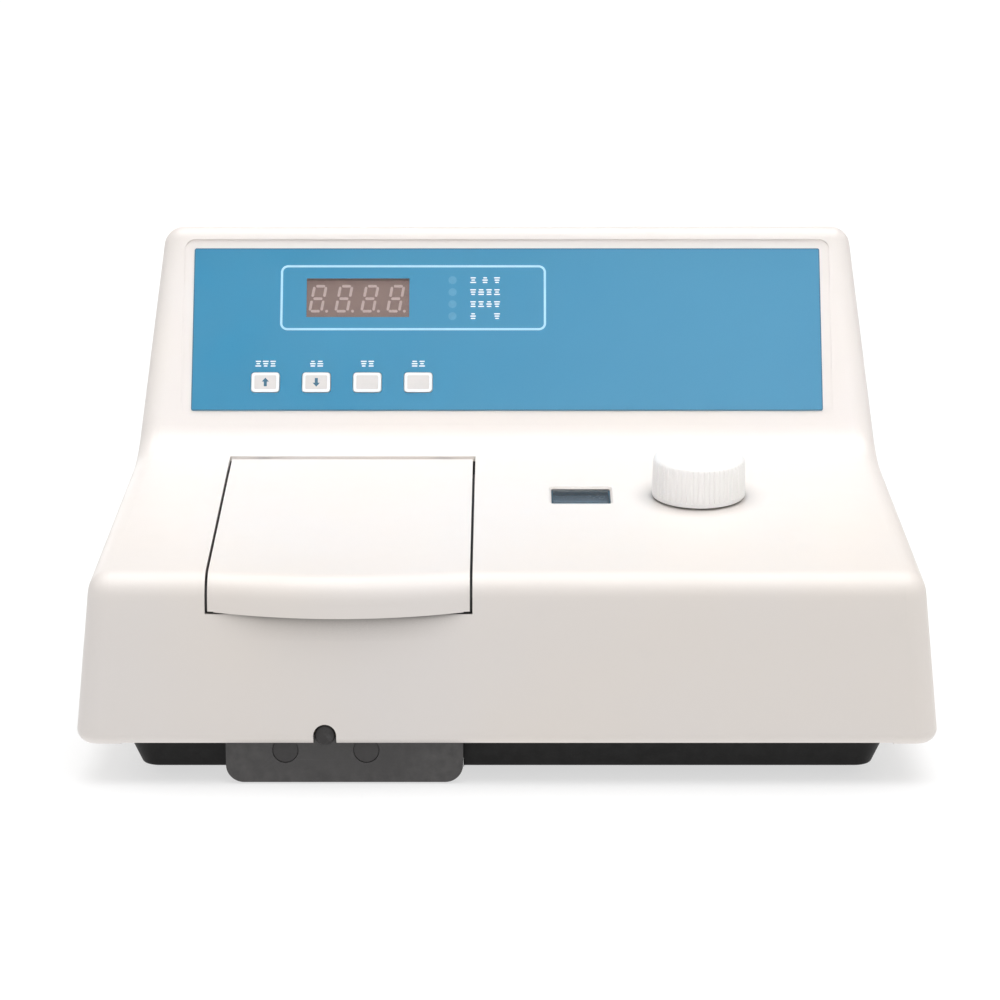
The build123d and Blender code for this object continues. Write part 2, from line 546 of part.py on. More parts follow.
# --- Cell compartment: dark tub with a flange under the deck and a step under the casing ---------------
well_x = (WELL_LEFT - WELL_WALL, WELL_RIGHT + WELL_WALL)
apron_y = FRONT_Y + APRON_IN
with BuildPart() as cell_compartment:
    add(upright_box(*well_x, WELL_FRONT - WELL_WALL, WELL_BACK + WELL_WALL, WELL_BOTTOM, 2 * FRONT_TOP[1]))
    split(bisect_by=DECK.offset(FLANGE_N), keep=Keep.BOTTOM)
    add(upright_box(*well_x, WELL_STEP_Y, WELL_FRONT, WELL_BOTTOM, WELL_STEP_Z))
    low_edges = cell_compartment.edges().filter_by(lambda edge: edge.center().Z < WELL_BOTTOM + NEAR)
    fillet(low_edges.filter_by(Axis.Y), WELL_R)
    with BuildSketch(Plane.XY.offset(WELL_FLOOR)):
        with Locations((WELL_MID, (WELL_FRONT + WELL_BACK) / 2)):
            Rectangle(WELL_RIGHT - WELL_LEFT, WELL_BACK - WELL_FRONT)
    extrude(amount=2 * FRONT_TOP[1], mode=Mode.SUBTRACT)
    # Flange under the deck, with its apron behind the front wall and a rib up to the casing.
    flange = prism(
        [
            on_deck(APRON_S, FLANGE_N),
            on_deck(TROUGH_S, FLANGE_N),
            on_deck(TROUGH_S, TROUGH_N),
            on_deck(FLANGE_BACK, TROUGH_N),
            on_deck(FLANGE_BACK, TROUGH_N - FLANGE_T),
            on_deck(TROUGH_S - FLANGE_T, TROUGH_N - FLANGE_T),
            on_deck(TROUGH_S - FLANGE_T, FLANGE_N - FLANGE_T),
            (apron_y + FLANGE_T, FRONT_TOP[1] + FLANGE_N - FLANGE_T),
            (apron_y + FLANGE_T, APRON_Z),
            (apron_y, APRON_Z),
            (apron_y, FRONT_TOP[1] + FLANGE_N - APRON_BEVEL),
        ],
        LID_LEFT - FLANGE_OUT,
        LID_RIGHT + FLANGE_OUT,
    )
    well_hole = upright_box(WELL_LEFT, WELL_RIGHT, WELL_FRONT, WELL_BACK, WELL_FLOOR, 2 * FRONT_TOP[1])
    add(flange - well_hole)
    for low_x in (LID_LEFT - RIB_OUT - FLANGE_T, LID_RIGHT + RIB_OUT):
        add(deck_box(low_x, low_x + FLANGE_T, CREASE_R + WALL, FLANGE_BACK, TROUGH_N, -WALL))
    rib_x = (LID_LEFT - RIB_OUT, LID_RIGHT + RIB_OUT)
    add(deck_box(*rib_x, FLANGE_BACK - FLANGE_T, FLANGE_BACK, TROUGH_N, -WALL))
    # Holes for the light beam, the pull rod's bush, the guide rails and the two front screws.
    add(rod(across(2 * WELL_LEFT, BEAM_Y, BEAM_Z), BEAM_R, -2 * WELL_LEFT), mode=Mode.SUBTRACT)
    arch_depth = WELL_FRONT - WELL_WALL - WELL_STEP_Y + MARGIN
    add(rod(along(ROD_X, WELL_STEP_Y - MARGIN, ROD_Z), ARCH_R, arch_depth), mode=Mode.SUBTRACT)
    bush_depth = WELL_FRONT - WELL_STEP_Y + MARGIN
    add(rod(along(ROD_X, WELL_STEP_Y, ROD_Z), ROD_BUSH_R, bush_depth), mode=Mode.SUBTRACT)
    for x in RAIL_X:
        add(rod(along(x, WELL_FRONT - WELL_WALL, RAIL_Z), RAIL_R, RAIL_L), mode=Mode.SUBTRACT)
    for x in POCKET_X:
        pocket_front = along(x, WELL_STEP_Y - MARGIN, POCKET_Z)
        add(rod(pocket_front, POCKET_HOLE_R, POCKET_DEPTH + MARGIN), mode=Mode.SUBTRACT)
        add(rod(pocket_front, SCREW_R, MARGIN + POCKET_DEPTH + POCKET_SCREW_L), mode=Mode.SUBTRACT)
save(cell_compartment, "cell_compartment")

with BuildPart() as compartment_gasket:
    with BuildSketch(DECK.offset(FLANGE_N)):
        with Locations((WELL_MID, GASKET_S)):
            RectangleRounded(GASKET_W, GASKET_L, GASKET_T)
            Rectangle(GASKET_W - 2 * GASKET_T, GASKET_L - 2 * GASKET_T, mode=Mode.SUBTRACT)
    extrude(amount=GASKET_H)
save(compartment_gasket, "compartment_gasket")

with BuildPart() as compartment_screws:
    for x in POCKET_X:
        head = along(x, WELL_STEP_Y + POCKET_DEPTH - HEAD_H, POCKET_Z)
        add(rod(head, HEAD_R, HEAD_H) - slot_cut(head))
        add(rod(head.offset(HEAD_H), SCREW_R, POCKET_SCREW_L))
save(compartment_screws, "compartment_screws")

with BuildPart() as hinge_brackets:
    for x in BRACKET_X:
        low_x = x - BRACKET_W / 2
        add(rod(across(low_x, HINGE.Y, HINGE.Z), EYE_R, BRACKET_W))
        add(deck_box(low_x, low_x + BRACKET_W, HINGE_S - ARM_HALF, HINGE_S + ARM_HALF, TROUGH_N, -HINGE_R))
    add(rod(across(LID_LEFT, HINGE.Y, HINGE.Z), PIN_R, knuckle_reach), mode=Mode.SUBTRACT)
save(hinge_brackets, "hinge_brackets")

hinge_pin_end = LID_BACK_GAP / 4
with BuildPart() as hinge_pin:
    add(rod(across(LID_LEFT + hinge_pin_end, HINGE.Y, HINGE.Z), PIN_R, knuckle_reach - 2 * hinge_pin_end))
save(hinge_pin, "hinge_pin")

# --- Base: pressed tray under the casing, with rubber feet -----------------------------------------
with BuildPart() as base_tray:
    flare = TRAY_T * tan(radians(TRAY_FLARE)) - TRAY_T / cos(radians(TRAY_FLARE))
    for level, grow, mode in ((0, 0, Mode.ADD), (TRAY_T, 2 * flare, Mode.SUBTRACT)):
        with BuildSketch(Plane.XY.offset(TRAY_Z + level)):
            with Locations((0, (TRAY_FRONT + TRAY_BACK) / 2)):
                RectangleRounded(TRAY_W + grow, TRAY_BACK - TRAY_FRONT + grow, TRAY_R)
        extrude(amount=TRAY_TOP_Z - TRAY_Z - level, taper=-TRAY_FLARE, mode=mode)
        if mode == Mode.ADD:
            fillet(base_tray.faces().sort_by(Axis.Z)[0].edges(), TRAY_R / 4)
    for side in (-1, 1):
        wing_x = sorted((side * TRAY_WING_IN, side * TRAY_WING_OUT))
        add(upright_box(*wing_x, TRAY_FRONT, TRAY_BACK, RIM_Z + WALL, RIM_Z + WALL + TRAY_T))
    well_back = WELL_BACK + WELL_WALL + TRAY_CUT
    cut_x = (well_x[0] - TRAY_CUT, well_x[1] + TRAY_CUT)
    add(upright_box(*cut_x, 2 * FRONT_Y, well_back, 0, 2 * RIM_Z), mode=Mode.SUBTRACT)
    with BuildSketch(Plane.XY):
        with Locations(LUGS + FEET):
            Circle(SCREW_R)
    extrude(amount=2 * RIM_Z, mode=Mode.SUBTRACT)
save(base_tray, "base_tray")

with BuildPart() as rubber_feet:
    with BuildSketch():
        with Locations(FEET):
            Circle(FEET_R)
    extrude(amount=TRAY_Z, taper=-FEET_TAPER)
    with BuildSketch():
        with Locations(FEET):
            Circle(HEAD_R + MARGIN)
    extrude(amount=FOOT_SEAT, mode=Mode.SUBTRACT)
    with BuildSketch():
        with Locations(FEET):
            Circle(SCREW_R)
    extrude(amount=TRAY_Z, mode=Mode.SUBTRACT)
save(rubber_feet, "rubber_feet")

with BuildPart() as foot_screws:
    for x, y in FEET:
        head = Plane((x, y, FOOT_SEAT - HEAD_H))
        add(rod(head, HEAD_R, HEAD_H) - slot_cut(head))
        add(rod(Plane((x, y, FOOT_SEAT)), SCREW_R, FOOT_SCREW_L))
save(foot_screws, "foot_screws")

with BuildPart() as casing_screws:
    for x, y in LUGS:
        head = Plane((x, y, RIM_Z - HEAD_H))
        add(rod(head, HEAD_R, HEAD_H) - slot_cut(head))
        add(rod(Plane((x, y, RIM_Z)), SCREW_R, FOOT_SCREW_L))
save(casing_screws, "casing_screws")

# --- Cell changer: a plate-built holder of four cells on a rack that slides on two rails ---------------
rack_front = BEAM_Y - CELL_PITCH / 2
rack_back = rack_front + CELL_COUNT * CELL_PITCH
slot_places = [(ROD_X, BEAM_Y + k * CELL_PITCH) for k in range(CELL_COUNT)]
with BuildPart() as cell_rack:
    foot_x = (RAIL_X[0] - RACK_SIDE, RAIL_X[1] + RACK_SIDE)
    add(upright_box(*foot_x, rack_front, rack_back, RAIL_Z - RACK_SIDE, RACK_DECK_Z))
    fillet(cell_rack.edges().filter_by(Axis.Z), RACK_SIDE / 4)
    for x in RAIL_X:
        add(rod(along(x, rack_front, RAIL_Z), RAIL_R + RUNNING, rack_back - rack_front), mode=Mode.SUBTRACT)
    add(rod(along(ROD_X, rack_front, ROD_Z), ROD_R, ROD_GRIP), mode=Mode.SUBTRACT)
save(cell_rack, "cell_rack")

with BuildPart() as cell_holder:
    wall_x = (ROD_X - RACK_HALF, ROD_X + RACK_HALF)
    slot_x = (ROD_X - CELL_SLOT / 2, ROD_X + CELL_SLOT / 2)
    holder_top = CELL_FLOOR + CELL_HOLD
    divider_half = (CELL_PITCH - CELL_SLOT) / 2
    # Floor plate, two side plates with holes for the beam, and dividers between the slots.
    add(upright_box(*wall_x, rack_front, rack_back, RACK_DECK_Z, CELL_FLOOR - HOLDER_SEAM))
    add(upright_box(wall_x[0], slot_x[0], rack_front, rack_back, CELL_FLOOR, holder_top))
    add(upright_box(slot_x[1], wall_x[1], rack_front, rack_back, CELL_FLOOR, holder_top))
    with BuildSketch(across(ROD_X - RACK_HALF, 0, 0)):
        with Locations([(y, BEAM_Z) for x, y in slot_places]):
            Circle(RACK_BEAM_R)
    extrude(amount=2 * RACK_HALF, mode=Mode.SUBTRACT)
    for k in range(CELL_COUNT + 1):
        divider_y = rack_front + k * CELL_PITCH
        low_y = max(rack_front, divider_y - divider_half)
        high_y = min(rack_back, divider_y + divider_half)
        divider_x = (slot_x[0] + HOLDER_SEAM, slot_x[1] - HOLDER_SEAM)
        add(upright_box(*divider_x, low_y, high_y, CELL_FLOOR, holder_top))
save(cell_holder, "cell_holder")

with BuildPart() as pull_rod:
    add(rod(along(ROD_X, ROD_KNOB_Y, ROD_Z), ROD_R, rack_front + ROD_GRIP - ROD_KNOB_Y))
save(pull_rod, "pull_rod")

with BuildPart() as rod_knob:
    add(rod(along(ROD_X, ROD_KNOB_Y - ROD_KNOB_L + ROD_GRIP / 2, ROD_Z), ROD_KNOB_R, ROD_KNOB_L))
    fillet(rod_knob.faces().sort_by(Axis.Y)[0].edges(), ROD_KNOB_R / 5)
    # Grip groove round the knob.
    with BuildSketch(across(ROD_X, 0, ROD_Z)):
        with Locations((ROD_KNOB_Y, ROD_KNOB_R + MARGIN)):
            Circle(ROD_KNOB_R / 2)
    revolve(axis=Axis((ROD_X, 0, ROD_Z), (0, 1, 0)), mode=Mode.SUBTRACT)
    add(rod(along(ROD_X, ROD_KNOB_Y, ROD_Z), ROD_R, ROD_KNOB_L), mode=Mode.SUBTRACT)
save(rod_knob, "rod_knob")

with BuildPart() as rod_bushing:
    head_y = WELL_FRONT - WELL_WALL - ROD_BUSH_HEAD_T
    add(rod(along(ROD_X, head_y, ROD_Z), ARCH_R - RUNNING, ROD_BUSH_HEAD_T))
    add(rod(along(ROD_X, WELL_FRONT - WELL_WALL, ROD_Z), ROD_BUSH_R, ROD_BUSH_L))
    add(rod(along(ROD_X, WELL_STEP_Y, ROD_Z), ROD_R + RUNNING, 3 * ROD_BUSH_L), mode=Mode.SUBTRACT)
save(rod_bushing, "rod_bushing")

with BuildPart() as guide_rails:
    for x in RAIL_X:
        add(rod(along(x, WELL_FRONT - WELL_WALL, RAIL_Z), RAIL_R, RAIL_L))
save(guide_rails, "guide_rails")

# --- Wavelength drive: knob, shaft, printed dial and pinion on the deck --------------------------------
knob_lean = (KNOB_R - KNOB_TOP_R) / (KNOB_H - KNOB_BASE)
# One cutter for the flutes, leaning with the knob's side.
with BuildPart() as knob_flute:
    with BuildSketch(Plane((KNOB_R, 0, KNOB_BASE), x_dir=(0, 1, 0), z_dir=(-knob_lean, 0, 1))):
        Circle(FLUTE_R)
    extrude(amount=KNOB_H)
with BuildPart() as knob_form:
    with BuildSketch(Plane.XZ):
        with BuildLine():
            side_line = [(KNOB_R, 0), (KNOB_R, KNOB_BASE), (KNOB_TOP_R, KNOB_H)]
            Polyline((0, 0), *side_line, (0, KNOB_H), close=True)
        make_face()
    revolve(axis=Axis.Z)
    fillet(knob_form.faces().sort_by(Axis.Z)[-1].edges(), KNOB_ROUND)
    fillet(knob_form.faces().sort_by(Axis.Z)[0].edges(), KNOB_ROUND / 8)
    for place in PolarLocations(0, KNOB_FLUTES).locations:
        add(place * knob_flute.part, mode=Mode.SUBTRACT)
    # Hollow underneath, round a hub on the shaft.
    with BuildSketch():
        Circle(KNOB_R - 2 * WALL)
        Circle(2 * SHAFT_R, mode=Mode.SUBTRACT)
    extrude(amount=KNOB_H / 2, mode=Mode.SUBTRACT)
    with BuildSketch():
        Circle(BUSH_HEAD_R + MARGIN)
    extrude(amount=BUSH_HEAD_T + MARGIN, mode=Mode.SUBTRACT)
    with BuildSketch():
        Circle(SHAFT_R)
    extrude(amount=SHAFT_TOP - KNOB_LIFT, mode=Mode.SUBTRACT)
with BuildPart() as wavelength_knob:
    add(deck_spot(KNOB_X, KNOB_S, KNOB_LIFT).location * knob_form.part)
save(wavelength_knob, "wavelength_knob")

with BuildPart() as knob_shaft:
    add(rod(deck_spot(KNOB_X, KNOB_S, SHAFT_LOW), SHAFT_R, SHAFT_TOP - SHAFT_LOW))
save(knob_shaft, "knob_shaft")

with BuildPart() as knob_bushing:
    add(rod(deck_spot(KNOB_X, KNOB_S, 0), BUSH_HEAD_R, BUSH_HEAD_T))
    add(rod(deck_spot(KNOB_X, KNOB_S, -WALL), BUSH_R, WALL))
    add(rod(deck_spot(KNOB_X, KNOB_S, -WALL - BUSH_HEAD_T), BUSH_HEAD_R, BUSH_HEAD_T))
    add(rod(deck_spot(KNOB_X, KNOB_S, -2 * WALL), SHAFT_R + RUNNING, 4 * WALL), mode=Mode.SUBTRACT)
save(knob_bushing, "knob_bushing")

with BuildPart() as wavelength_dial:
    add(rod(deck_spot(KNOB_X, KNOB_S, DIAL_N - DIAL_T), DIAL_R, DIAL_T))
    add(rod(deck_spot(KNOB_X, KNOB_S, DIAL_N - DIAL_HUB_L), DIAL_HUB_R, DIAL_HUB_L))
    with BuildSketch(deck_spot(KNOB_X, KNOB_S, DIAL_N - DIAL_T)):
        with PolarLocations(DIAL_R / 3, DIAL_HOLES):
            Circle(DIAL_HUB_R)
    extrude(amount=DIAL_T, mode=Mode.SUBTRACT)
    add(rod(deck_spot(KNOB_X, KNOB_S, DIAL_N - DIAL_HUB_L), SHAFT_R, DIAL_HUB_L), mode=Mode.SUBTRACT)
save(wavelength_dial, "wavelength_dial")

with BuildPart() as dial_window:
    with BuildSketch(DECK.offset(-WALL - PANE_T)):
        with Locations((WINDOW_X, WINDOW_S)):
            RectangleRounded(WINDOW_W + 2 * PANE_LAP, WINDOW_L + 2 * PANE_LAP, WINDOW_R)
    extrude(amount=PANE_T)
    with BuildSketch(DECK.offset(-WALL)):
        with Locations((WINDOW_X, WINDOW_S)):
            RectangleRounded(WINDOW_W, WINDOW_L, WINDOW_R)
    extrude(amount=WALL - BEVEL)
    with BuildSketch(DECK.offset(-WALL - PANE_T)):
        with Locations((WINDOW_X, WINDOW_S)):
            Rectangle(WINDOW_W + PANE_LAP, HAIRLINE_W)
    extrude(amount=HAIRLINE_W, mode=Mode.SUBTRACT)
save(dial_window, "dial_window")


def tooth(teeth, addendum):
    """Outline of one involute gear tooth pointing along +X, run into the root circle."""
    pitch_r = GEAR_MODULE * teeth / 2
    base_r = pitch_r * cos(PRESSURE)
    root_r = pitch_r - ROOT_DEPTH * GEAR_MODULE
    half_angle = pi / (2 * teeth) - BACKLASH / (4 * pitch_r)
    low_r = max(base_r, root_r)
    radii = [low_r + (pitch_r + addendum - low_r) * k / FLANK_STEPS for k in range(FLANK_STEPS + 1)]
    angles = []
    for radius in radii:
        flank = acos(base_r / radius)
        angles.append(half_angle + (tan(PRESSURE) - PRESSURE) - (tan(flank) - flank))
    radii = [root_r - GEAR_MODULE / 2] + radii
    angles = [angles[0]] + angles
    side = [Vector(r * cos(a), r * sin(a)) for r, a in zip(radii, angles)]
    with BuildSketch() as outline:
        with BuildLine():
            Polyline(*side, *[Vector(point.X, -point.Y) for point in reversed(side)], close=True)
        make_face()
    return outline.sketch


with BuildPart() as drive_pinion:
    with BuildSketch(deck_spot(KNOB_X, KNOB_S, GEAR_N - GEAR_T)):
        Circle(PINION_PITCH_R - ROOT_DEPTH * GEAR_MODULE)
        for k in range(PINION_TEETH):
            add(tooth(PINION_TEETH, GEAR_MODULE), rotation=360 * k / PINION_TEETH)
        Circle(SHAFT_R, mode=Mode.SUBTRACT)
    extrude(amount=GEAR_T)
    with BuildSketch(deck_spot(KNOB_X, KNOB_S, GEAR_N)):
        Circle(PINION_PITCH_R - ROOT_DEPTH * GEAR_MODULE)
        Circle(SHAFT_R, mode=Mode.SUBTRACT)
    extrude(amount=GEAR_T / 2)
save(drive_pinion, "drive_pinion")

sector_pitch = 360 / SECTOR_TEETH
with BuildPart() as sector_gear:
    with BuildSketch(deck_spot(AXLE_X, KNOB_S, GEAR_N - GEAR_T + GEAR_STEP)):
        root_r = SECTOR_PITCH_R - ROOT_DEPTH * GEAR_MODULE
        with BuildLine():
            edge_angle = SECTOR_SPAN * sector_pitch
            start = Vector(root_r, 0).rotate(Axis.Z, -edge_angle)
            finish = Vector(root_r, 0).rotate(Axis.Z, edge_angle)
            ThreePointArc(start, (root_r, 0), finish)
            Polyline(finish, (0, ARM_HALF * 2), (0, -ARM_HALF * 2), start)
        make_face()
        Circle(GEAR_HUB_R)
        for k in range(-SECTOR_SPAN, SECTOR_SPAN):
            add(tooth(SECTOR_TEETH, GEAR_MODULE), rotation=(k + 0.5) * sector_pitch)
        with Locations((root_r * 2 / 3, 0)):
            Circle(GEAR_HUB_R, mode=Mode.SUBTRACT)
        Circle(SHAFT_R, mode=Mode.SUBTRACT)
    extrude(amount=GEAR_T - 2 * GEAR_STEP)
    with BuildSketch(deck_spot(AXLE_X, KNOB_S, GEAR_N - GEAR_STEP)):
        Circle(GEAR_HUB_R)
        Circle(SHAFT_R, mode=Mode.SUBTRACT)
    extrude(amount=GEAR_T)
save(sector_gear, "sector_gear")

with BuildPart() as grating_axle:
    add(rod(deck_spot(AXLE_X, KNOB_S, AXLE_LOW), SHAFT_R, GEAR_N + GEAR_T - AXLE_LOW))
save(grating_axle, "grating_axle")

with BuildPart() as grating_table:
    add(rod(deck_spot(AXLE_X, KNOB_S, TABLE_N), TABLE_R, TABLE_T))
    clamp_x = (AXLE_X - TABLE_R / 2, AXLE_X - SHAFT_R)
    clamp_s = (KNOB_S - TABLE_R / 2, KNOB_S + TABLE_R / 2)
    add(deck_box(*clamp_x, *clamp_s, TABLE_N, TABLE_N + GRATING_H + TABLE_T))
    add(rod(deck_spot(AXLE_X, KNOB_S, TABLE_N), SHAFT_R, GRATING_H), mode=Mode.SUBTRACT)
save(grating_table, "grating_table")

with BuildPart() as grating:
    grating_x = (AXLE_X + SHAFT_R, AXLE_X + SHAFT_R + GRATING_T)
    grating_s = (KNOB_S - GRATING_W / 2, KNOB_S + GRATING_W / 2)
    add(deck_box(*grating_x, *grating_s, TABLE_N + TABLE_T, TABLE_N + TABLE_T + GRATING_H))
save(grating, "grating")

# --- Monochromator: cast box under the deck, with slits, mirrors and a flat cover ---------------------
with BuildPart() as monochromator_case:
    add(deck_box(MONO_LEFT, MONO_RIGHT, MONO_FRONT, MONO_BACK, MONO_BOTTOM, MONO_TOP - COVER_T))
    fillet(monochromator_case.edges().filter_by(DECK_OUT), MONO_WALL)
    inside = (MONO_LEFT + MONO_WALL, MONO_RIGHT - MONO_WALL, MONO_FRONT + MONO_WALL, MONO_BACK - MONO_WALL)
    add(deck_box(*inside, MONO_FLOOR, MONO_TOP), mode=Mode.SUBTRACT)
    bearing_h = AXLE_LOW - MONO_FLOOR + 2 * SHAFT_R - MARGIN
    add(rod(deck_spot(AXLE_X, KNOB_S, MONO_FLOOR), 2 * SHAFT_R, bearing_h))
    axle_seat = deck_spot(AXLE_X, KNOB_S, AXLE_LOW - RUNNING)
    add(rod(axle_seat, SHAFT_R + RUNNING, 3 * SHAFT_R), mode=Mode.SUBTRACT)
    # Snout to the cell compartment, and the two ports.
    exit_port = across(well_x[1], BEAM_Y, BEAM_Z)
    add(rod(exit_port, BEAM_R + MONO_WALL, MONO_LEFT - well_x[1]))
    add(rod(exit_port, BEAM_R, MONO_LEFT + MONO_WALL - well_x[1]), mode=Mode.SUBTRACT)
    entry_port = up_deck(LAMP_X, MONO_BACK - 2 * MONO_WALL, BEAM_LOCAL.Z)
    add(rod(entry_port, BEAM_R, 3 * MONO_WALL), mode=Mode.SUBTRACT)
    # Backs for the mirrors.
    for x, s, turn, width in MIRRORS:
        with BuildSketch(deck_spot(x, s, MONO_FLOOR)):
            with Locations(Location((0, 0, 0), (0, 0, turn))):
                with Locations((-MIRROR_T - MONO_WALL / 2, 0)):
                    Rectangle(MONO_WALL, width)
        extrude(amount=MIRROR_H)
save(monochromator_case, "monochromator_case")

with BuildPart() as monochromator_cover:
    add(deck_box(MONO_LEFT, MONO_RIGHT, MONO_FRONT, MONO_BACK, MONO_TOP - COVER_T, MONO_TOP))
    for x in (AXLE_X, KNOB_X):
        add(rod(deck_spot(x, KNOB_S, MONO_TOP), 2 * SHAFT_R, COVER_BOSS))
        bore = rod(deck_spot(x, KNOB_S, MONO_TOP - COVER_T), SHAFT_R + RUNNING, COVER_BOSS + COVER_T)
        add(bore, mode=Mode.SUBTRACT)
save(monochromator_cover, "monochromator_cover")

with BuildPart() as monochromator_posts:
    for x in (MONO_LEFT + POST_IN, MONO_RIGHT - POST_IN):
        for s in (MONO_FRONT + POST_IN, MONO_BACK - POST_IN):
            foot = DECK.from_local_coords(Vector(x, s, MONO_BOTTOM))
            add(rod(Plane((foot.X, foot.Y, TRAY_Z + TRAY_T)), BUSH_R, 2 * RIM_Z + TRAY_TOP_Z))
    split(bisect_by=DECK.offset(MONO_BOTTOM), keep=Keep.BOTTOM)
save(monochromator_posts, "monochromator_posts")

with BuildPart() as slit_plates:
    exit_x = MONO_LEFT + MONO_WALL
    entry_s = MONO_BACK - MONO_WALL
    for half, half_n, out, mode in (
        (SLIT_HALF, SLIT_HALF, 0, Mode.ADD),
        (SLIT_T / 4, BEAM_R, MONO_WALL, Mode.SUBTRACT),
    ):
        slit_n = (BEAM_LOCAL.Z - half_n, BEAM_LOCAL.Z + half_n)
        exit_s = (BEAM_LOCAL.Y - half, BEAM_LOCAL.Y + half)
        add(deck_box(exit_x - out, exit_x + SLIT_T + out, *exit_s, *slit_n), mode=mode)
        entry_x = (LAMP_X - half, LAMP_X + half)
        add(deck_box(*entry_x, entry_s - SLIT_T - out, entry_s + out, *slit_n), mode=mode)
save(slit_plates, "slit_plates")

with BuildPart() as mirrors:
    for x, s, turn, width in MIRRORS:
        with BuildSketch(deck_spot(x, s, MONO_FLOOR + SLIT_T)):
            with Locations(Location((0, 0, 0), (0, 0, turn))):
                with Locations((-MIRROR_T / 2, 0)):
                    Rectangle(MIRROR_T, width)
        extrude(amount=MIRROR_H - SLIT_T)
save(mirrors, "mirrors")

# --- Console: membrane panel, display, lamps, keys and the board behind them ---------------------------
film_n = -RECESS_DEPTH
with BuildPart() as panel_overlay:
    with BuildSketch(CONSOLE.offset(film_n)):
        with Locations((0, PANEL_S)):
            RectangleRounded(PANEL_W, PANEL_H, PANEL_R)
        with Locations((DISPLAY_X, DISPLAY_S)):
            Rectangle(DISPLAY_W, DISPLAY_H, mode=Mode.SUBTRACT)
        with Locations([(LED_X, s) for s in LED_S]):
            Circle(LED_R + KEY_GAP, mode=Mode.SUBTRACT)
        with Locations([(x, KEY_S) for x in KEY_X]):
            RectangleRounded(KEY_W + 2 * KEY_GAP, KEY_H + 2 * KEY_GAP, KEY_R + KEY_GAP, mode=Mode.SUBTRACT)
    extrude(amount=FILM_T)
save(panel_overlay, "panel_overlay")

with BuildPart() as display_window:
    with BuildSketch(CONSOLE.offset(film_n)):
        with Locations((DISPLAY_X, DISPLAY_S)):
            Rectangle(DISPLAY_W, DISPLAY_H)
    extrude(amount=FILM_T)
save(display_window, "display_window")

with BuildPart() as display_module:
    with BuildSketch(CONSOLE.offset(BOARD_N)):
        with Locations((DISPLAY_X, DISPLAY_S)):
            Rectangle(DISPLAY_W, DISPLAY_H - 2 * DISPLAY_IN)
    extrude(amount=DISPLAY_FACE_N - BOARD_N)
save(display_module, "display_module")

with BuildPart() as display_segments:
    with BuildSketch(CONSOLE.offset(DISPLAY_FACE_N)):
        for digit in range(DIGITS):
            digit_x = DISPLAY_X + (digit - (DIGITS - 1) / 2) * DIGIT_PITCH - DIGIT_SHIFT
            for row in (-1, 0, 1):
                shift = row * DIGIT_H / 2 * tan(radians(SLANT))
                with Locations((digit_x + shift, DISPLAY_S + row * (DIGIT_H - SEGMENT_W) / 2)):
                    RectangleRounded(DIGIT_W - 2 * SEGMENT_W, SEGMENT_W, SEGMENT_R)
            for column in (-1, 1):
                for half in (-1, 1):
                    middle_s = half * DIGIT_H / 4
                    middle_x = digit_x + column * (DIGIT_W - SEGMENT_W) / 2 + middle_s * tan(radians(SLANT))
                    with Locations(Location((middle_x, DISPLAY_S + middle_s, 0), (0, 0, -SLANT))):
                        RectangleRounded(SEGMENT_W, DIGIT_H / 2 - 1.5 * SEGMENT_W, SEGMENT_R)
            with Locations((digit_x + DIGIT_W / 2 + POINT_OUT, DISPLAY_S - (DIGIT_H - SEGMENT_W) / 2)):
                Circle(POINT_R)
    extrude(amount=SEGMENT_T)
save(display_segments, "display_segments")

with BuildPart() as status_leds:
    with BuildSketch(CONSOLE.offset(BOARD_N)):
        with Locations([(LED_X, s) for s in LED_S]):
            Circle(LED_R)
    extrude(amount=film_n + FILM_T - BOARD_N)
save(status_leds, "status_leds")

with BuildPart() as console_board:
    board_x = (BOARD_BOSSES[0][0] - 2 * BOSS_R, BOARD_BOSSES[-1][0] + 2 * BOSS_R)
    board_s = (BOARD_BOSSES[0][1] - 2 * BOSS_R, BOARD_BOSSES[-1][1] + 2 * BOSS_R)
    with BuildSketch(CONSOLE.offset(BOARD_N - BOARD_T)):
        with Locations((sum(board_x) / 2, sum(board_s) / 2)):
            Rectangle(board_x[1] - board_x[0], board_s[1] - board_s[0])
    extrude(amount=BOARD_T)
save(console_board, "console_board")

with BuildPart() as key_switches:
    with BuildSketch(CONSOLE.offset(BOARD_N)):
        with Locations([(x, KEY_S) for x in KEY_X]):
            RectangleRounded(SWITCH_W, SWITCH_W, SWITCH_R)
    extrude(amount=SWITCH_H)
    with BuildSketch(CONSOLE.offset(BOARD_N + SWITCH_H)):
        with Locations([(x, KEY_S) for x in KEY_X]):
            Circle(LED_R)
    extrude(amount=SWITCH_NIB)
save(key_switches, "key_switches")

for name, x in zip(KEY_NAMES, KEY_X):
    with BuildPart() as key:
        with BuildSketch(CONSOLE.offset(KEY_BACK_N)):
            with Locations((x, KEY_S)):
                RectangleRounded(KEY_W + 2 * KEY_FLANGE, KEY_H + 2 * KEY_FLANGE, KEY_R)
        extrude(amount=KEY_FLANGE_T)
        with BuildSketch(CONSOLE.offset(KEY_BACK_N)):
            with Locations((x, KEY_S)):
                RectangleRounded(KEY_W, KEY_H, KEY_R)
        extrude(amount=KEY_TOP_N - KEY_BACK_N)
        fillet(key.faces().sort_by(CONSOLE_OUT)[-1].edges(), KEY_ROUND)
    save(key, name)

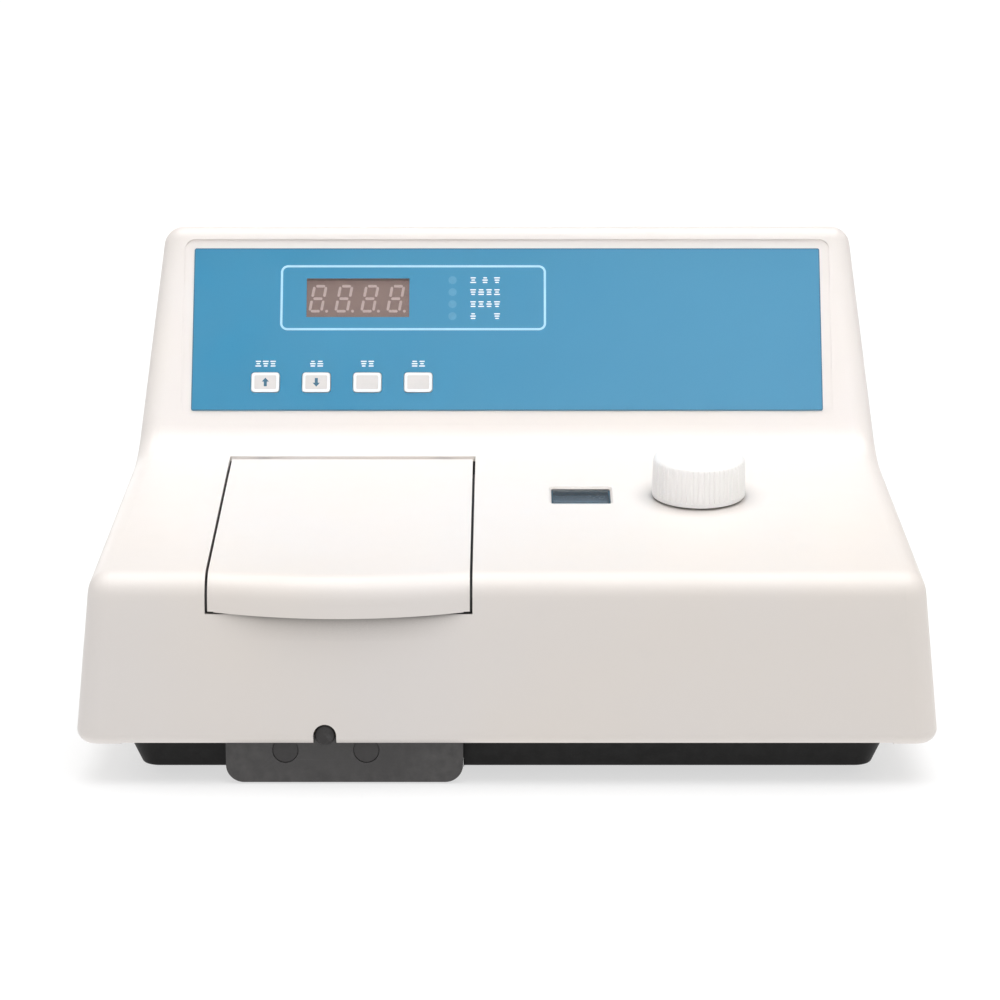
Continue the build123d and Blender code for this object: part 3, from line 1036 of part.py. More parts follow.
# --- Electronics on the tray -------------------------------------------------------------------------
floor_z = TRAY_Z + TRAY_T
core = TRANSFORMER_AT
core_z = floor_z + CORE_FOOT_T
coil_z = (floor_z + COIL_LIFT, floor_z + COIL_LIFT + COIL_H)
with BuildPart() as transformer_core:
    add(block_at(*core, CORE_W, CORE_D, core_z, core_z + CORE_H))
    add(block_at(*core, COIL_W + COIL_CLEAR, COIL_D, *coil_z), mode=Mode.SUBTRACT)
    add(block_at(*core, CORE_LIMB, CORE_D, *coil_z))
    add(block_at(*core, CORE_FOOT_W, CORE_D, floor_z, core_z))
save(transformer_core, "transformer_core")

with BuildPart() as transformer_winding:
    add(block_at(*core, COIL_W, COIL_D, *coil_z))
    fillet(transformer_winding.edges().filter_by(Axis.Z), COIL_R)
    add(block_at(*core, CORE_LIMB, CORE_D, *coil_z), mode=Mode.SUBTRACT)
save(transformer_winding, "transformer_winding")

board_z = floor_z + MAIN_BOARD_LIFT
pillar_grid = (MAIN_BOARD_W - 2 * MAIN_BOARD_EDGE, MAIN_BOARD_D - 2 * MAIN_BOARD_EDGE, 2, 2)
with BuildPart() as main_board:
    add(block_at(*MAIN_BOARD_AT, MAIN_BOARD_W, MAIN_BOARD_D, board_z, board_z + BOARD_T))
    with BuildSketch(Plane.XY.offset(floor_z)):
        with Locations(MAIN_BOARD_AT):
            with GridLocations(*pillar_grid):
                Circle(BOSS_R)
    extrude(amount=MAIN_BOARD_LIFT)
save(main_board, "main_board")

with BuildPart() as board_components:
    board_x, board_y = MAIN_BOARD_AT
    top_z = board_z + BOARD_T
    for dx, dy, radius, high in CAPACITORS:
        add(rod(Plane((board_x + dx, board_y + dy, top_z)), radius, high))
    for dx, dy, wide, deep in CHIPS:
        add(block_at(board_x + dx, board_y + dy, wide, deep, top_z, top_z + CHIP_H))
save(board_components, "board_components")

# --- Lamp house and detector ---------------------------------------------------------------------------
low_x, high_x, low_y, high_y = LAMP_HOUSE
house_mid = ((low_x + high_x) / 2, (low_y + high_y) / 2)
lens_s = MONO_BACK + LENS_GAP
lens_spot = up_deck(LAMP_X, lens_s, BEAM_LOCAL.Z)
lens_bore = rod(lens_spot.offset(-3 * LENS_R), LENS_R, 5 * LENS_R)
with BuildPart() as lamp_housing:
    add(upright_box(low_x, high_x, low_y, high_y, floor_z, LAMP_HOUSE_TOP))
    inside = (high_x - low_x - 2 * SHEET, high_y - low_y - 2 * SHEET)
    add(block_at(*house_mid, *inside, floor_z, LAMP_HOUSE_TOP - SHEET), mode=Mode.SUBTRACT)
    with BuildSketch(Plane.XY.offset(LAMP_HOUSE_TOP - 2 * SHEET)):
        with Locations(house_mid):
            with GridLocations(LAMP_SLOT_PITCH, 0, LAMP_SLOTS, 1):
                SlotOverall(LAMP_SLOT_L, VENT_SLOT_W, rotation=90)
    extrude(amount=3 * SHEET, mode=Mode.SUBTRACT)
    # Tube for the lens, cut off just behind the monochromator.
    add(rod(lens_spot.offset(-2 * LENS_R), LENS_R + SHEET, 3 * LENS_R))
    add(lens_bore, mode=Mode.SUBTRACT)
    split(bisect_by=up_deck(0, MONO_BACK + MARGIN, 0), keep=Keep.TOP)
save(lamp_housing, "lamp_housing")

lens_curve = (LENS_R**2 + (LENS_MID - LENS_EDGE) ** 2) / (2 * (LENS_MID - LENS_EDGE))
with BuildPart() as lens_form:
    Cylinder(LENS_R, 2 * LENS_MID)
    for side in (-1, 1):
        with Locations((0, 0, side * (LENS_MID - lens_curve))):
            Sphere(lens_curve, mode=Mode.INTERSECT)
with BuildPart() as condenser_lens:
    add(lens_spot.location * lens_form.part)
save(condenser_lens, "condenser_lens")

bulb_at = DECK.from_local_coords(Vector(LAMP_X, lens_s + BULB_BACK, BEAM_LOCAL.Z))
with BuildPart() as lamp_socket:
    seat = 2 * (BULB_R + BULB_SEAT)
    add(block_at(LAMP_X, bulb_at.Y, seat, seat, floor_z, bulb_at.Z - BULB_L / 2))
    fillet(lamp_socket.edges().filter_by(Axis.Z), SMALL_R)
save(lamp_socket, "lamp_socket")

with BuildPart() as halogen_lamp:
    add(rod(Plane((LAMP_X, bulb_at.Y, bulb_at.Z - BULB_L / 2)), BULB_R, BULB_L))
    fillet(halogen_lamp.faces().sort_by(Axis.Z)[-1].edges(), BULB_R * 0.8)
save(halogen_lamp, "halogen_lamp")

with BuildPart() as detector_housing:
    detector_x = (well_x[0] - DETECTOR_L, well_x[0])
    detector_y = (BEAM_Y - DETECTOR_HALF, BEAM_Y + DETECTOR_HALF)
    detector_z = (BEAM_Z - DETECTOR_HALF, BEAM_Z + DETECTOR_HALF)
    add(upright_box(*detector_x, *detector_y, *detector_z))
    fillet(detector_housing.edges().filter_by(Axis.X), SMALL_R)
    can_seat = across(detector_x[0] + WALL, BEAM_Y, BEAM_Z)
    add(rod(can_seat, DETECTOR_HALF - 2 * WALL, DETECTOR_L), mode=Mode.SUBTRACT)
save(detector_housing, "detector_housing")

with BuildPart() as photodiode:
    add(rod(can_seat, BEAM_R, DETECTOR_L / 3))
    add(rod(can_seat, BEAM_R + CAN_RIM, CAN_RIM))
save(photodiode, "photodiode")

# --- Rear panel: steel plate with vents, mains inlet, power switch and data port -----------------------
plate_face = BACK.offset(-WALL)
with BuildPart() as rear_panel:
    with BuildSketch(plate_face.offset(-BACK_PANEL_T)):
        with Locations((0, BACK_PANEL_V)):
            RectangleRounded(BACK_PANEL_W, BACK_PANEL_H, WALL)
        with Locations((0, BACK_PANEL_V)):
            with GridLocations(VENT_PITCH, VENT_ROW, VENT_COLUMNS, 2):
                SlotOverall(VENT_SLOT_L, VENT_SLOT_W, rotation=90, mode=Mode.SUBTRACT)
        with Locations((INLET_U, INLET_V)):
            RectangleRounded(INLET_BODY_W, INLET_BODY_H, WINDOW_R, mode=Mode.SUBTRACT)
        with Locations((INLET_U, SWITCH_V)):
            Rectangle(ROCKER_W + SWITCH_BODY, ROCKER_H + SWITCH_BODY, mode=Mode.SUBTRACT)
        with Locations((PORT_U, INLET_V)):
            RectangleRounded(PORT_W, PORT_H, WINDOW_R, mode=Mode.SUBTRACT)
        with Locations(BACK_SCREWS):
            Circle(SCREW_R, mode=Mode.SUBTRACT)
    extrude(amount=BACK_PANEL_T)
save(rear_panel, "rear_panel")

with BuildPart() as rear_panel_screws:
    for u, v in BACK_SCREWS:
        head = Plane(BACK.from_local_coords(Vector(u, v, HEAD_H)), x_dir=BACK.x_dir, z_dir=-BACK.z_dir)
        add(rod(head, HEAD_R, HEAD_H) - slot_cut(head))
        add(rod(head.offset(HEAD_H), SCREW_R, WALL + BACK_PANEL_T + 2 * MARGIN))
save(rear_panel_screws, "rear_panel_screws")

with BuildPart() as power_inlet:
    with BuildSketch(plate_face):
        with Locations((INLET_U, INLET_V)):
            RectangleRounded(INLET_BODY_W + INLET_LAP_W, INLET_BODY_H + INLET_LAP_H, WINDOW_R)
    extrude(amount=FACE_T)
    with BuildSketch(plate_face):
        with Locations((INLET_U, INLET_V)):
            RectangleRounded(INLET_BODY_W, INLET_BODY_H, WINDOW_R)
    extrude(amount=-INLET_DEPTH)
    with BuildSketch(plate_face.offset(FACE_T)):
        with Locations((INLET_U, INLET_V)):
            inlet_mouth = Rectangle(INLET_MOUTH_W, INLET_MOUTH_H)
        chamfer(inlet_mouth.vertices().group_by(Axis.Y)[-1], INLET_CORNER)
    extrude(amount=FACE_T - INLET_DEPTH, mode=Mode.SUBTRACT)
save(power_inlet, "power_inlet")

with BuildPart() as inlet_pins:
    with BuildSketch(plate_face.offset(BLADE_SHORT - INLET_DEPTH)):
        with Locations([(INLET_U + du, INLET_V + dv) for du, dv in BLADES]):
            Rectangle(BLADE_W, BLADE_H)
    extrude(amount=INLET_DEPTH - BLADE_SHORT - FACE_T)
save(inlet_pins, "inlet_pins")

rocker_spot = BACK.from_local_coords(Vector(INLET_U, SWITCH_V, ROCKER_N))


def rocker_pivot(reach, radius):
    """A rod on the rocker's axis, past each side of the rocker by reach."""
    half = ROCKER_W / 2 + reach
    return rod(across(rocker_spot.X - half, rocker_spot.Y, rocker_spot.Z), radius, 2 * half)


with BuildPart() as power_switch_frame:
    with BuildSketch(plate_face):
        with Locations((INLET_U, SWITCH_V)):
            RectangleRounded(ROCKER_W + SWITCH_LAP, ROCKER_H + SWITCH_LAP, WINDOW_R)
    extrude(amount=FACE_T)
    with BuildSketch(plate_face):
        with Locations((INLET_U, SWITCH_V)):
            Rectangle(ROCKER_W + SWITCH_BODY, ROCKER_H + SWITCH_BODY)
    extrude(amount=-SWITCH_DEPTH)
    with BuildSketch(plate_face.offset(FACE_T)):
        with Locations((INLET_U, SWITCH_V)):
            Rectangle(ROCKER_W + 2 * ROCKER_GAP, ROCKER_H + 2 * ROCKER_GAP)
    extrude(amount=-SWITCH_DEPTH, mode=Mode.SUBTRACT)
    add(rocker_pivot(PIVOT_REACH + PIVOT_END, PIVOT_R + RUNNING), mode=Mode.SUBTRACT)
save(power_switch_frame, "power_switch_frame")

with BuildPart() as power_rocker:
    rocker_side = Plane(rocker_spot - Vector(ROCKER_W / 2, 0, 0), x_dir=BACK.z_dir, z_dir=(1, 0, 0))
    with BuildSketch(rocker_side):
        with Locations(Location((0, 0, 0), (0, 0, ROCKER_TILT))):
            with BuildLine():
                Polyline(
                    (-ROCKER_DEEP, -ROCKER_H * ROCKER_ROOT),
                    (ROCKER_PROUD, -ROCKER_H * ROCKER_TIP),
                    (ROCKER_PROUD - ROCKER_DISH, 0),
                    (ROCKER_PROUD, ROCKER_H * ROCKER_TIP),
                    (-ROCKER_DEEP, ROCKER_H * ROCKER_ROOT),
                    close=True,
                )
            make_face()
    extrude(amount=ROCKER_W)
    add(rocker_pivot(PIVOT_REACH, PIVOT_R))
save(power_rocker, "power_rocker")

with BuildPart() as data_port:
    with BuildSketch(plate_face):
        with Locations((PORT_U, INLET_V)):
            RectangleRounded(PORT_W + PORT_LAP_W, PORT_H + PORT_LAP_H, WINDOW_R)
    extrude(amount=PORT_LAP_T)
    with BuildSketch(plate_face):
        with Locations((PORT_U, INLET_V)):
            RectangleRounded(PORT_W, PORT_H, WINDOW_R)
    extrude(amount=-PORT_DEPTH)
    # Slanted shell round the hollow that a plug goes into.
    shell_w = PORT_W - PORT_SHELL_IN
    shell_h = PORT_H - PORT_SHELL_IN
    with BuildSketch(plate_face):
        with Locations((PORT_U, INLET_V)):
            Trapezoid(shell_w, shell_h, PORT_SLANT)
    extrude(amount=PORT_SHELL_L)
    with BuildSketch(plate_face):
        with Locations((PORT_U, INLET_V)):
            Trapezoid(shell_w - 2 * PORT_SHELL_T, shell_h - 2 * PORT_SHELL_T, PORT_SLANT)
    extrude(amount=PORT_SHELL_L + MARGIN, mode=Mode.SUBTRACT)
save(data_port, "data_port")
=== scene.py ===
"""Looks of the bench spectrophotometer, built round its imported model.

Metres, +Z up, the user at -Y. The CAD nodes only get their materials here. The pieces made here are
prints, inlays and small fittings, each riding on the body that it belongs to. The sizes that are
named in capitals are millimetres, and MM turns them into metres.
"""

import json
import math

import bmesh
import bpy
from mathutils import Matrix, Vector


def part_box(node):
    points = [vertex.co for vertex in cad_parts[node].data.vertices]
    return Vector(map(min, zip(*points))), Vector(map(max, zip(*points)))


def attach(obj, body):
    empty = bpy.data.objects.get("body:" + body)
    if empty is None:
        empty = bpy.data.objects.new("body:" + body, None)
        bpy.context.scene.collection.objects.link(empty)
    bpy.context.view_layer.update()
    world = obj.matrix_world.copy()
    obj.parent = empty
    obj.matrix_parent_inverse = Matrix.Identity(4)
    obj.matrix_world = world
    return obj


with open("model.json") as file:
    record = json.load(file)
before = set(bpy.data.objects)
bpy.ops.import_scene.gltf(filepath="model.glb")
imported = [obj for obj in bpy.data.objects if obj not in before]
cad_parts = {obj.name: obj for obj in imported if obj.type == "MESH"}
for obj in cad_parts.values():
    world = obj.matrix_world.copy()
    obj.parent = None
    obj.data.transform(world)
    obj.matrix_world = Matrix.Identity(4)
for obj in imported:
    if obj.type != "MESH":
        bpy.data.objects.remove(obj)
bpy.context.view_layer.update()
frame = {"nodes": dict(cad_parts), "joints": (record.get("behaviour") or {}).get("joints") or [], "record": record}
nodes = frame["nodes"]
MM = 0.001


# --- Working planes, taken from the joints and the nodes ------------------------------------------
class Face:
    """A flat face of the object: x to the right, s up along it, n out of it, all in millimetres."""

    def __init__(self, origin, out):
        self.out = Vector(out).normalized()
        self.right = Vector((1, 0, 0))
        self.up = self.out.cross(self.right)
        self.origin = Vector(origin)

    def at(self, x, s, n=0.0):
        return self.origin + MM * (x * self.right + s * self.up + n * self.out)


def joint(name):
    """The record of a joint in the frame."""
    return next(j for j in frame["joints"] if j["name"] == name)


def middle(node):
    """The middle of the box round a node, in metres."""
    low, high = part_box(node)
    return (Vector(low) + Vector(high)) / 2


knob_axis = joint("wavelength_turn")
KNOB = Face(knob_axis["pos_m"], knob_axis["axis"])
console_out = -Vector(joint("key_up_press")["axis"])
SCREEN = Face(middle("display_window"), console_out)
WINDOW = Face(middle("dial_window"), knob_axis["axis"])


# --- Materials ------------------------------------------------------------------------------------
MIX_FACTOR, MIX_FIRST, MIX_SECOND, MIX_RESULT = 0, 6, 7, 2  # the colour sockets of a Mix node


class Nodes:
    """Short ways to add and link shader nodes."""

    def __init__(self, material):
        material.use_nodes = True
        self.tree = material.node_tree
        self.shader = self.tree.nodes["Principled BSDF"]
        self.coords = self.tree.nodes.new("ShaderNodeTexCoord").outputs["Object"]

    def new(self, kind, **settings):
        node = self.tree.nodes.new(kind)
        for key, value in settings.items():
            setattr(node, key, value)
        return node

    def link(self, start, end):
        self.tree.links.new(start, end)

    def feed(self, value, slot):
        """Gives an input either a link from a socket or a plain value."""
        if isinstance(value, bpy.types.NodeSocket):
            self.link(value, slot)
        else:
            slot.default_value = value

    def axes(self):
        """The object coordinates as separate X, Y and Z sockets, in metres."""
        node = self.new("ShaderNodeSeparateXYZ")
        self.link(self.coords, node.inputs["Vector"])
        return node.outputs

    def noise(self, scale, detail=3.0, rough=0.55, stretch=None):
        node = self.new("ShaderNodeTexNoise")
        node.inputs["Scale"].default_value = scale
        node.inputs["Detail"].default_value = detail
        node.inputs["Roughness"].default_value = rough
        coords = self.coords
        if stretch:
            mapping = self.new("ShaderNodeMapping")
            mapping.inputs["Scale"].default_value = stretch
            self.link(coords, mapping.inputs["Vector"])
            coords = mapping.outputs["Vector"]
        self.link(coords, node.inputs["Vector"])
        return node.outputs["Fac"]

    def ramp(self, value, low, high, start=0.0, end=1.0):
        node = self.new("ShaderNodeMapRange")
        node.inputs["From Min"].default_value = low
        node.inputs["From Max"].default_value = high
        node.inputs["To Min"].default_value = start
        node.inputs["To Max"].default_value = end
        self.link(value, node.inputs["Value"])
        return node.outputs["Result"]

    def mix(self, factor, first, second):
        node = self.new("ShaderNodeMix", data_type="RGBA")
        self.feed(factor, node.inputs[MIX_FACTOR])
        self.feed(first, node.inputs[MIX_FIRST])
        self.feed(second, node.inputs[MIX_SECOND])
        return node.outputs[MIX_RESULT]

    def math(self, operation, first, second=0.0):
        node = self.new("ShaderNodeMath", operation=operation)
        self.feed(first, node.inputs[0])
        self.feed(second, node.inputs[1])
        return node.outputs[0]

    def bump(self, height, strength, distance):
        node = self.new("ShaderNodeBump")
        node.inputs["Strength"].default_value = strength
        node.inputs["Distance"].default_value = distance
        self.link(height, node.inputs["Height"])
        return node.outputs["Normal"]


def shade(colour, factor):
    """A colour made lighter or darker by a factor."""
    return tuple(min(1.0, c * factor) for c in colour[:3]) + (1.0,)


def finish(
    name,
    colour,
    rough=0.4,
    metal=0.0,
    coat=0.0,
    vary=0.03,
    mottle=25.0,
    grain=900.0,
    grain_depth=0.00004,
    rough_vary=0.06,
    wear=0.0,
    wear_colour=None,
    brushed=None,
    specular=0.5,
):
    """A finish with colour mottle, roughness variation, a fine grain bump and worn edges."""
    material = bpy.data.materials.new(name)
    n = Nodes(material)
    colour = tuple(colour) + (1.0,)
    mottled = n.noise(mottle, 4.0)
    base = n.mix(n.ramp(mottled, 0.3, 0.7), shade(colour, 1 - vary), shade(colour, 1 + vary))
    if wear:
        worn_colour = tuple(wear_colour) + (1.0,) if wear_colour else shade(colour, 1.4)
        worn = n.new("ShaderNodeNewGeometry").outputs["Pointiness"]
        patchy = n.ramp(n.noise(mottle * 6), 0.35, 0.7)
        edge = n.math("MULTIPLY", n.ramp(worn, 0.52, 0.6, 0.0, wear), patchy)
        base = n.mix(edge, base, worn_colour)
    n.link(base, n.shader.inputs["Base Color"])
    fine = n.noise(grain, 2.0, stretch=brushed)
    smudge = n.noise(mottle * 1.7, 5.0, 0.65)
    blend = n.math("ADD", n.math("MULTIPLY", fine, 0.4), n.math("MULTIPLY", smudge, 0.6))
    roughness = n.ramp(blend, 0.35, 0.65, rough - rough_vary, rough + rough_vary)
    n.link(roughness, n.shader.inputs["Roughness"])
    n.link(n.bump(fine, 0.5, grain_depth), n.shader.inputs["Normal"])
    n.shader.inputs["Metallic"].default_value = metal
    n.shader.inputs["Specular IOR Level"].default_value = specular
    if coat:
        n.shader.inputs["Coat Weight"].default_value = coat
        n.shader.inputs["Coat Roughness"].default_value = 0.12
    return material


def casing_material():
    """Satin moulded plastic: warm off-white, fine spark texture, faint flow and painted shade in joints."""
    material = bpy.data.materials.new("casing_plastic")
    n = Nodes(material)
    white = (0.82, 0.775, 0.748, 1.0)
    cream = (0.835, 0.775, 0.724, 1.0)
    base = n.mix(n.ramp(n.noise(6.0, 3.0), 0.35, 0.65), white, cream)
    base = n.mix(n.ramp(n.noise(55.0, 5.0), 0.62, 0.8, 0.0, 0.25), base, (0.77, 0.73, 0.69, 1.0))
    # Painted shade: the joints in front of the hinge and the wall under the lid's lip are darkened where shade
    # falls. There is less of it at the left edge of the lid, where the seam's wall is lit, and far to the right of
    # the lid.
    axes = n.axes()
    hinge_y = joint("lid_hinge")["pos_m"][1]
    before_hinge = n.ramp(axes["Y"], hinge_y - 14 * MM, hinge_y - 6 * MM, 1.0, 0.0)
    lid_low, lid_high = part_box("lid")
    left_edge_shade = n.ramp(axes["X"], lid_low[0] - 2 * MM, lid_low[0] + 25 * MM, 0.3, 1.0)
    right_side_shade = n.ramp(axes["X"], lid_high[0] + 6 * MM, lid_high[0] + 40 * MM, 1.0, 0.35)
    shade_reach = n.math("MULTIPLY", before_hinge, n.math("MULTIPLY", left_edge_shade, right_side_shade))
    # Two layers of painted shade from occlusion, a wide one first, then a narrow and darker one, each with its
    # reach, the range of its occlusion, its strength and its colour.
    for distance, low, high, most, colour in (
        (0.012, 0.55, 0.99, 0.9, (0.2, 0.182, 0.168, 1.0)),
        (0.0035, 0.45, 0.86, 1.0, (0.13, 0.118, 0.11, 1.0)),
    ):
        occlusion = n.new("ShaderNodeAmbientOcclusion", samples=8)
        occlusion.inputs["Distance"].default_value = distance
        painted_shade = n.ramp(occlusion.outputs["AO"], low, high, most, 0.0)
        base = n.mix(n.math("MULTIPLY", painted_shade, shade_reach), base, colour)
    n.link(base, n.shader.inputs["Base Color"])
    spark = n.noise(2600.0, 2.0, 0.6)
    flow = n.noise(16.0, 2.0, 0.5)
    n.link(n.ramp(n.noise(34.0, 5.0, 0.65), 0.3, 0.7, 0.36, 0.5), n.shader.inputs["Roughness"])
    height = n.math("ADD", n.math("MULTIPLY", spark, 0.35), n.math("MULTIPLY", flow, 1.0))
    n.link(n.bump(height, 0.35, 0.00009), n.shader.inputs["Normal"])
    n.shader.inputs["Coat Weight"].default_value = 0.12
    n.shader.inputs["Coat Roughness"].default_value = 0.28
    return material


def film_material():
    """Printed polyester film: an even sky blue, a very fine texture and faint handling marks."""
    material = bpy.data.materials.new("panel_film")
    n = Nodes(material)
    blue = (0.01, 0.23, 0.42, 1.0)
    paler = (0.016, 0.243, 0.43, 1.0)
    base = n.mix(n.ramp(n.noise(9.0, 3.0), 0.35, 0.68), blue, paler)
    base = n.mix(n.ramp(n.noise(1800.0, 1.0), 0.45, 0.75, 0.0, 0.12), base, (0.03, 0.27, 0.45, 1.0))
    n.link(base, n.shader.inputs["Base Color"])
    n.link(n.ramp(n.noise(48.0, 6.0, 0.7), 0.3, 0.7, 0.27, 0.36), n.shader.inputs["Roughness"])
    n.link(n.bump(n.noise(3200.0, 1.0), 0.3, 0.00003), n.shader.inputs["Normal"])
    n.shader.inputs["Specular IOR Level"].default_value = 0.85
    return material


WINDOW_L = 23.4  # the pane's length up the deck, with its border
WINDOW_LEDGE = 3.0  # what the deck hides of the pane at each side
BORDER_W, HAIRLINE_W = 0.9, 0.34


def window_material():
    """Clear pane: thin, faintly tinted glass with a black painted border and hairline."""
    low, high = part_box("dial_window")
    material = bpy.data.materials.new("window_pane")
    n = Nodes(material)
    material.surface_render_method = "BLENDED"
    axes = n.axes()
    half = (high[0] - low[0]) / 2 - WINDOW_LEDGE * MM
    from_middle = n.math("ABSOLUTE", n.math("SUBTRACT", axes["X"], (low[0] + high[0]) / 2))
    side = n.math("GREATER_THAN", from_middle, half - BORDER_W * MM)
    up = KNOB.up
    along_y = n.math("MULTIPLY", axes["Y"], up.y)
    along_z = n.math("MULTIPLY", axes["Z"], up.z)
    along = n.math("ADD", along_y, along_z)
    pane = WINDOW.origin.dot(up)
    off = n.math("ABSOLUTE", n.math("SUBTRACT", along, pane))
    end = n.math("GREATER_THAN", off, WINDOW_L / 2 * MM - BORDER_W * MM)
    line = n.math("LESS_THAN", off, HAIRLINE_W / 2 * MM)
    ink = n.math("MINIMUM", n.math("ADD", n.math("ADD", side, end), line), 1.0)
    tint, black = (0.4, 0.48, 0.56, 1.0), (0.018, 0.017, 0.018, 1.0)
    n.link(n.mix(ink, tint, black), n.shader.inputs["Base Color"])
    n.link(n.ramp(ink, 0.0, 1.0, 0.13, 1.0), n.shader.inputs["Alpha"])
    n.link(n.ramp(n.noise(60.0), 0.3, 0.7, 0.03, 0.09), n.shader.inputs["Roughness"])
    n.link(n.bump(n.noise(40.0), 0.1, 0.00002), n.shader.inputs["Normal"])
    return material


def glass_material(name, colour, alpha, rough=0.04):
    """Clear glass or film: mostly see-through, with a polished, faintly smudged surface."""
    material = bpy.data.materials.new(name)
    n = Nodes(material)
    material.surface_render_method = "BLENDED"
    tone = n.mix(n.ramp(n.noise(30.0), 0.3, 0.7), shade(colour, 0.94), shade(colour, 1.06))
    n.link(tone, n.shader.inputs["Base Color"])
    n.shader.inputs["Alpha"].default_value = alpha
    n.link(n.ramp(n.noise(90.0, 4.0), 0.3, 0.7, rough, rough + 0.08), n.shader.inputs["Roughness"])
    n.link(n.bump(n.noise(45.0), 0.1, 0.00002), n.shader.inputs["Normal"])
    return material


def board_material():
    """Circuit board: green mask over copper tracks, laid out on a grid of narrow lines."""
    material = bpy.data.materials.new("board_mask")
    n = Nodes(material)
    bricks = n.new("ShaderNodeTexBrick")
    bricks.inputs["Scale"].default_value = 90.0
    bricks.inputs["Mortar Size"].default_value = 0.04
    n.link(n.coords, bricks.inputs["Vector"])
    tracks = n.math("MULTIPLY", bricks.outputs["Fac"], n.ramp(n.noise(70.0), 0.45, 0.55))
    base = n.mix(tracks, (0.012, 0.11, 0.045, 1.0), (0.05, 0.24, 0.09, 1.0))
    n.link(base, n.shader.inputs["Base Color"])
    n.link(n.ramp(n.noise(200.0), 0.3, 0.7, 0.28, 0.4), n.shader.inputs["Roughness"])
    n.link(n.bump(tracks, 0.4, 0.00006), n.shader.inputs["Normal"])
    return material


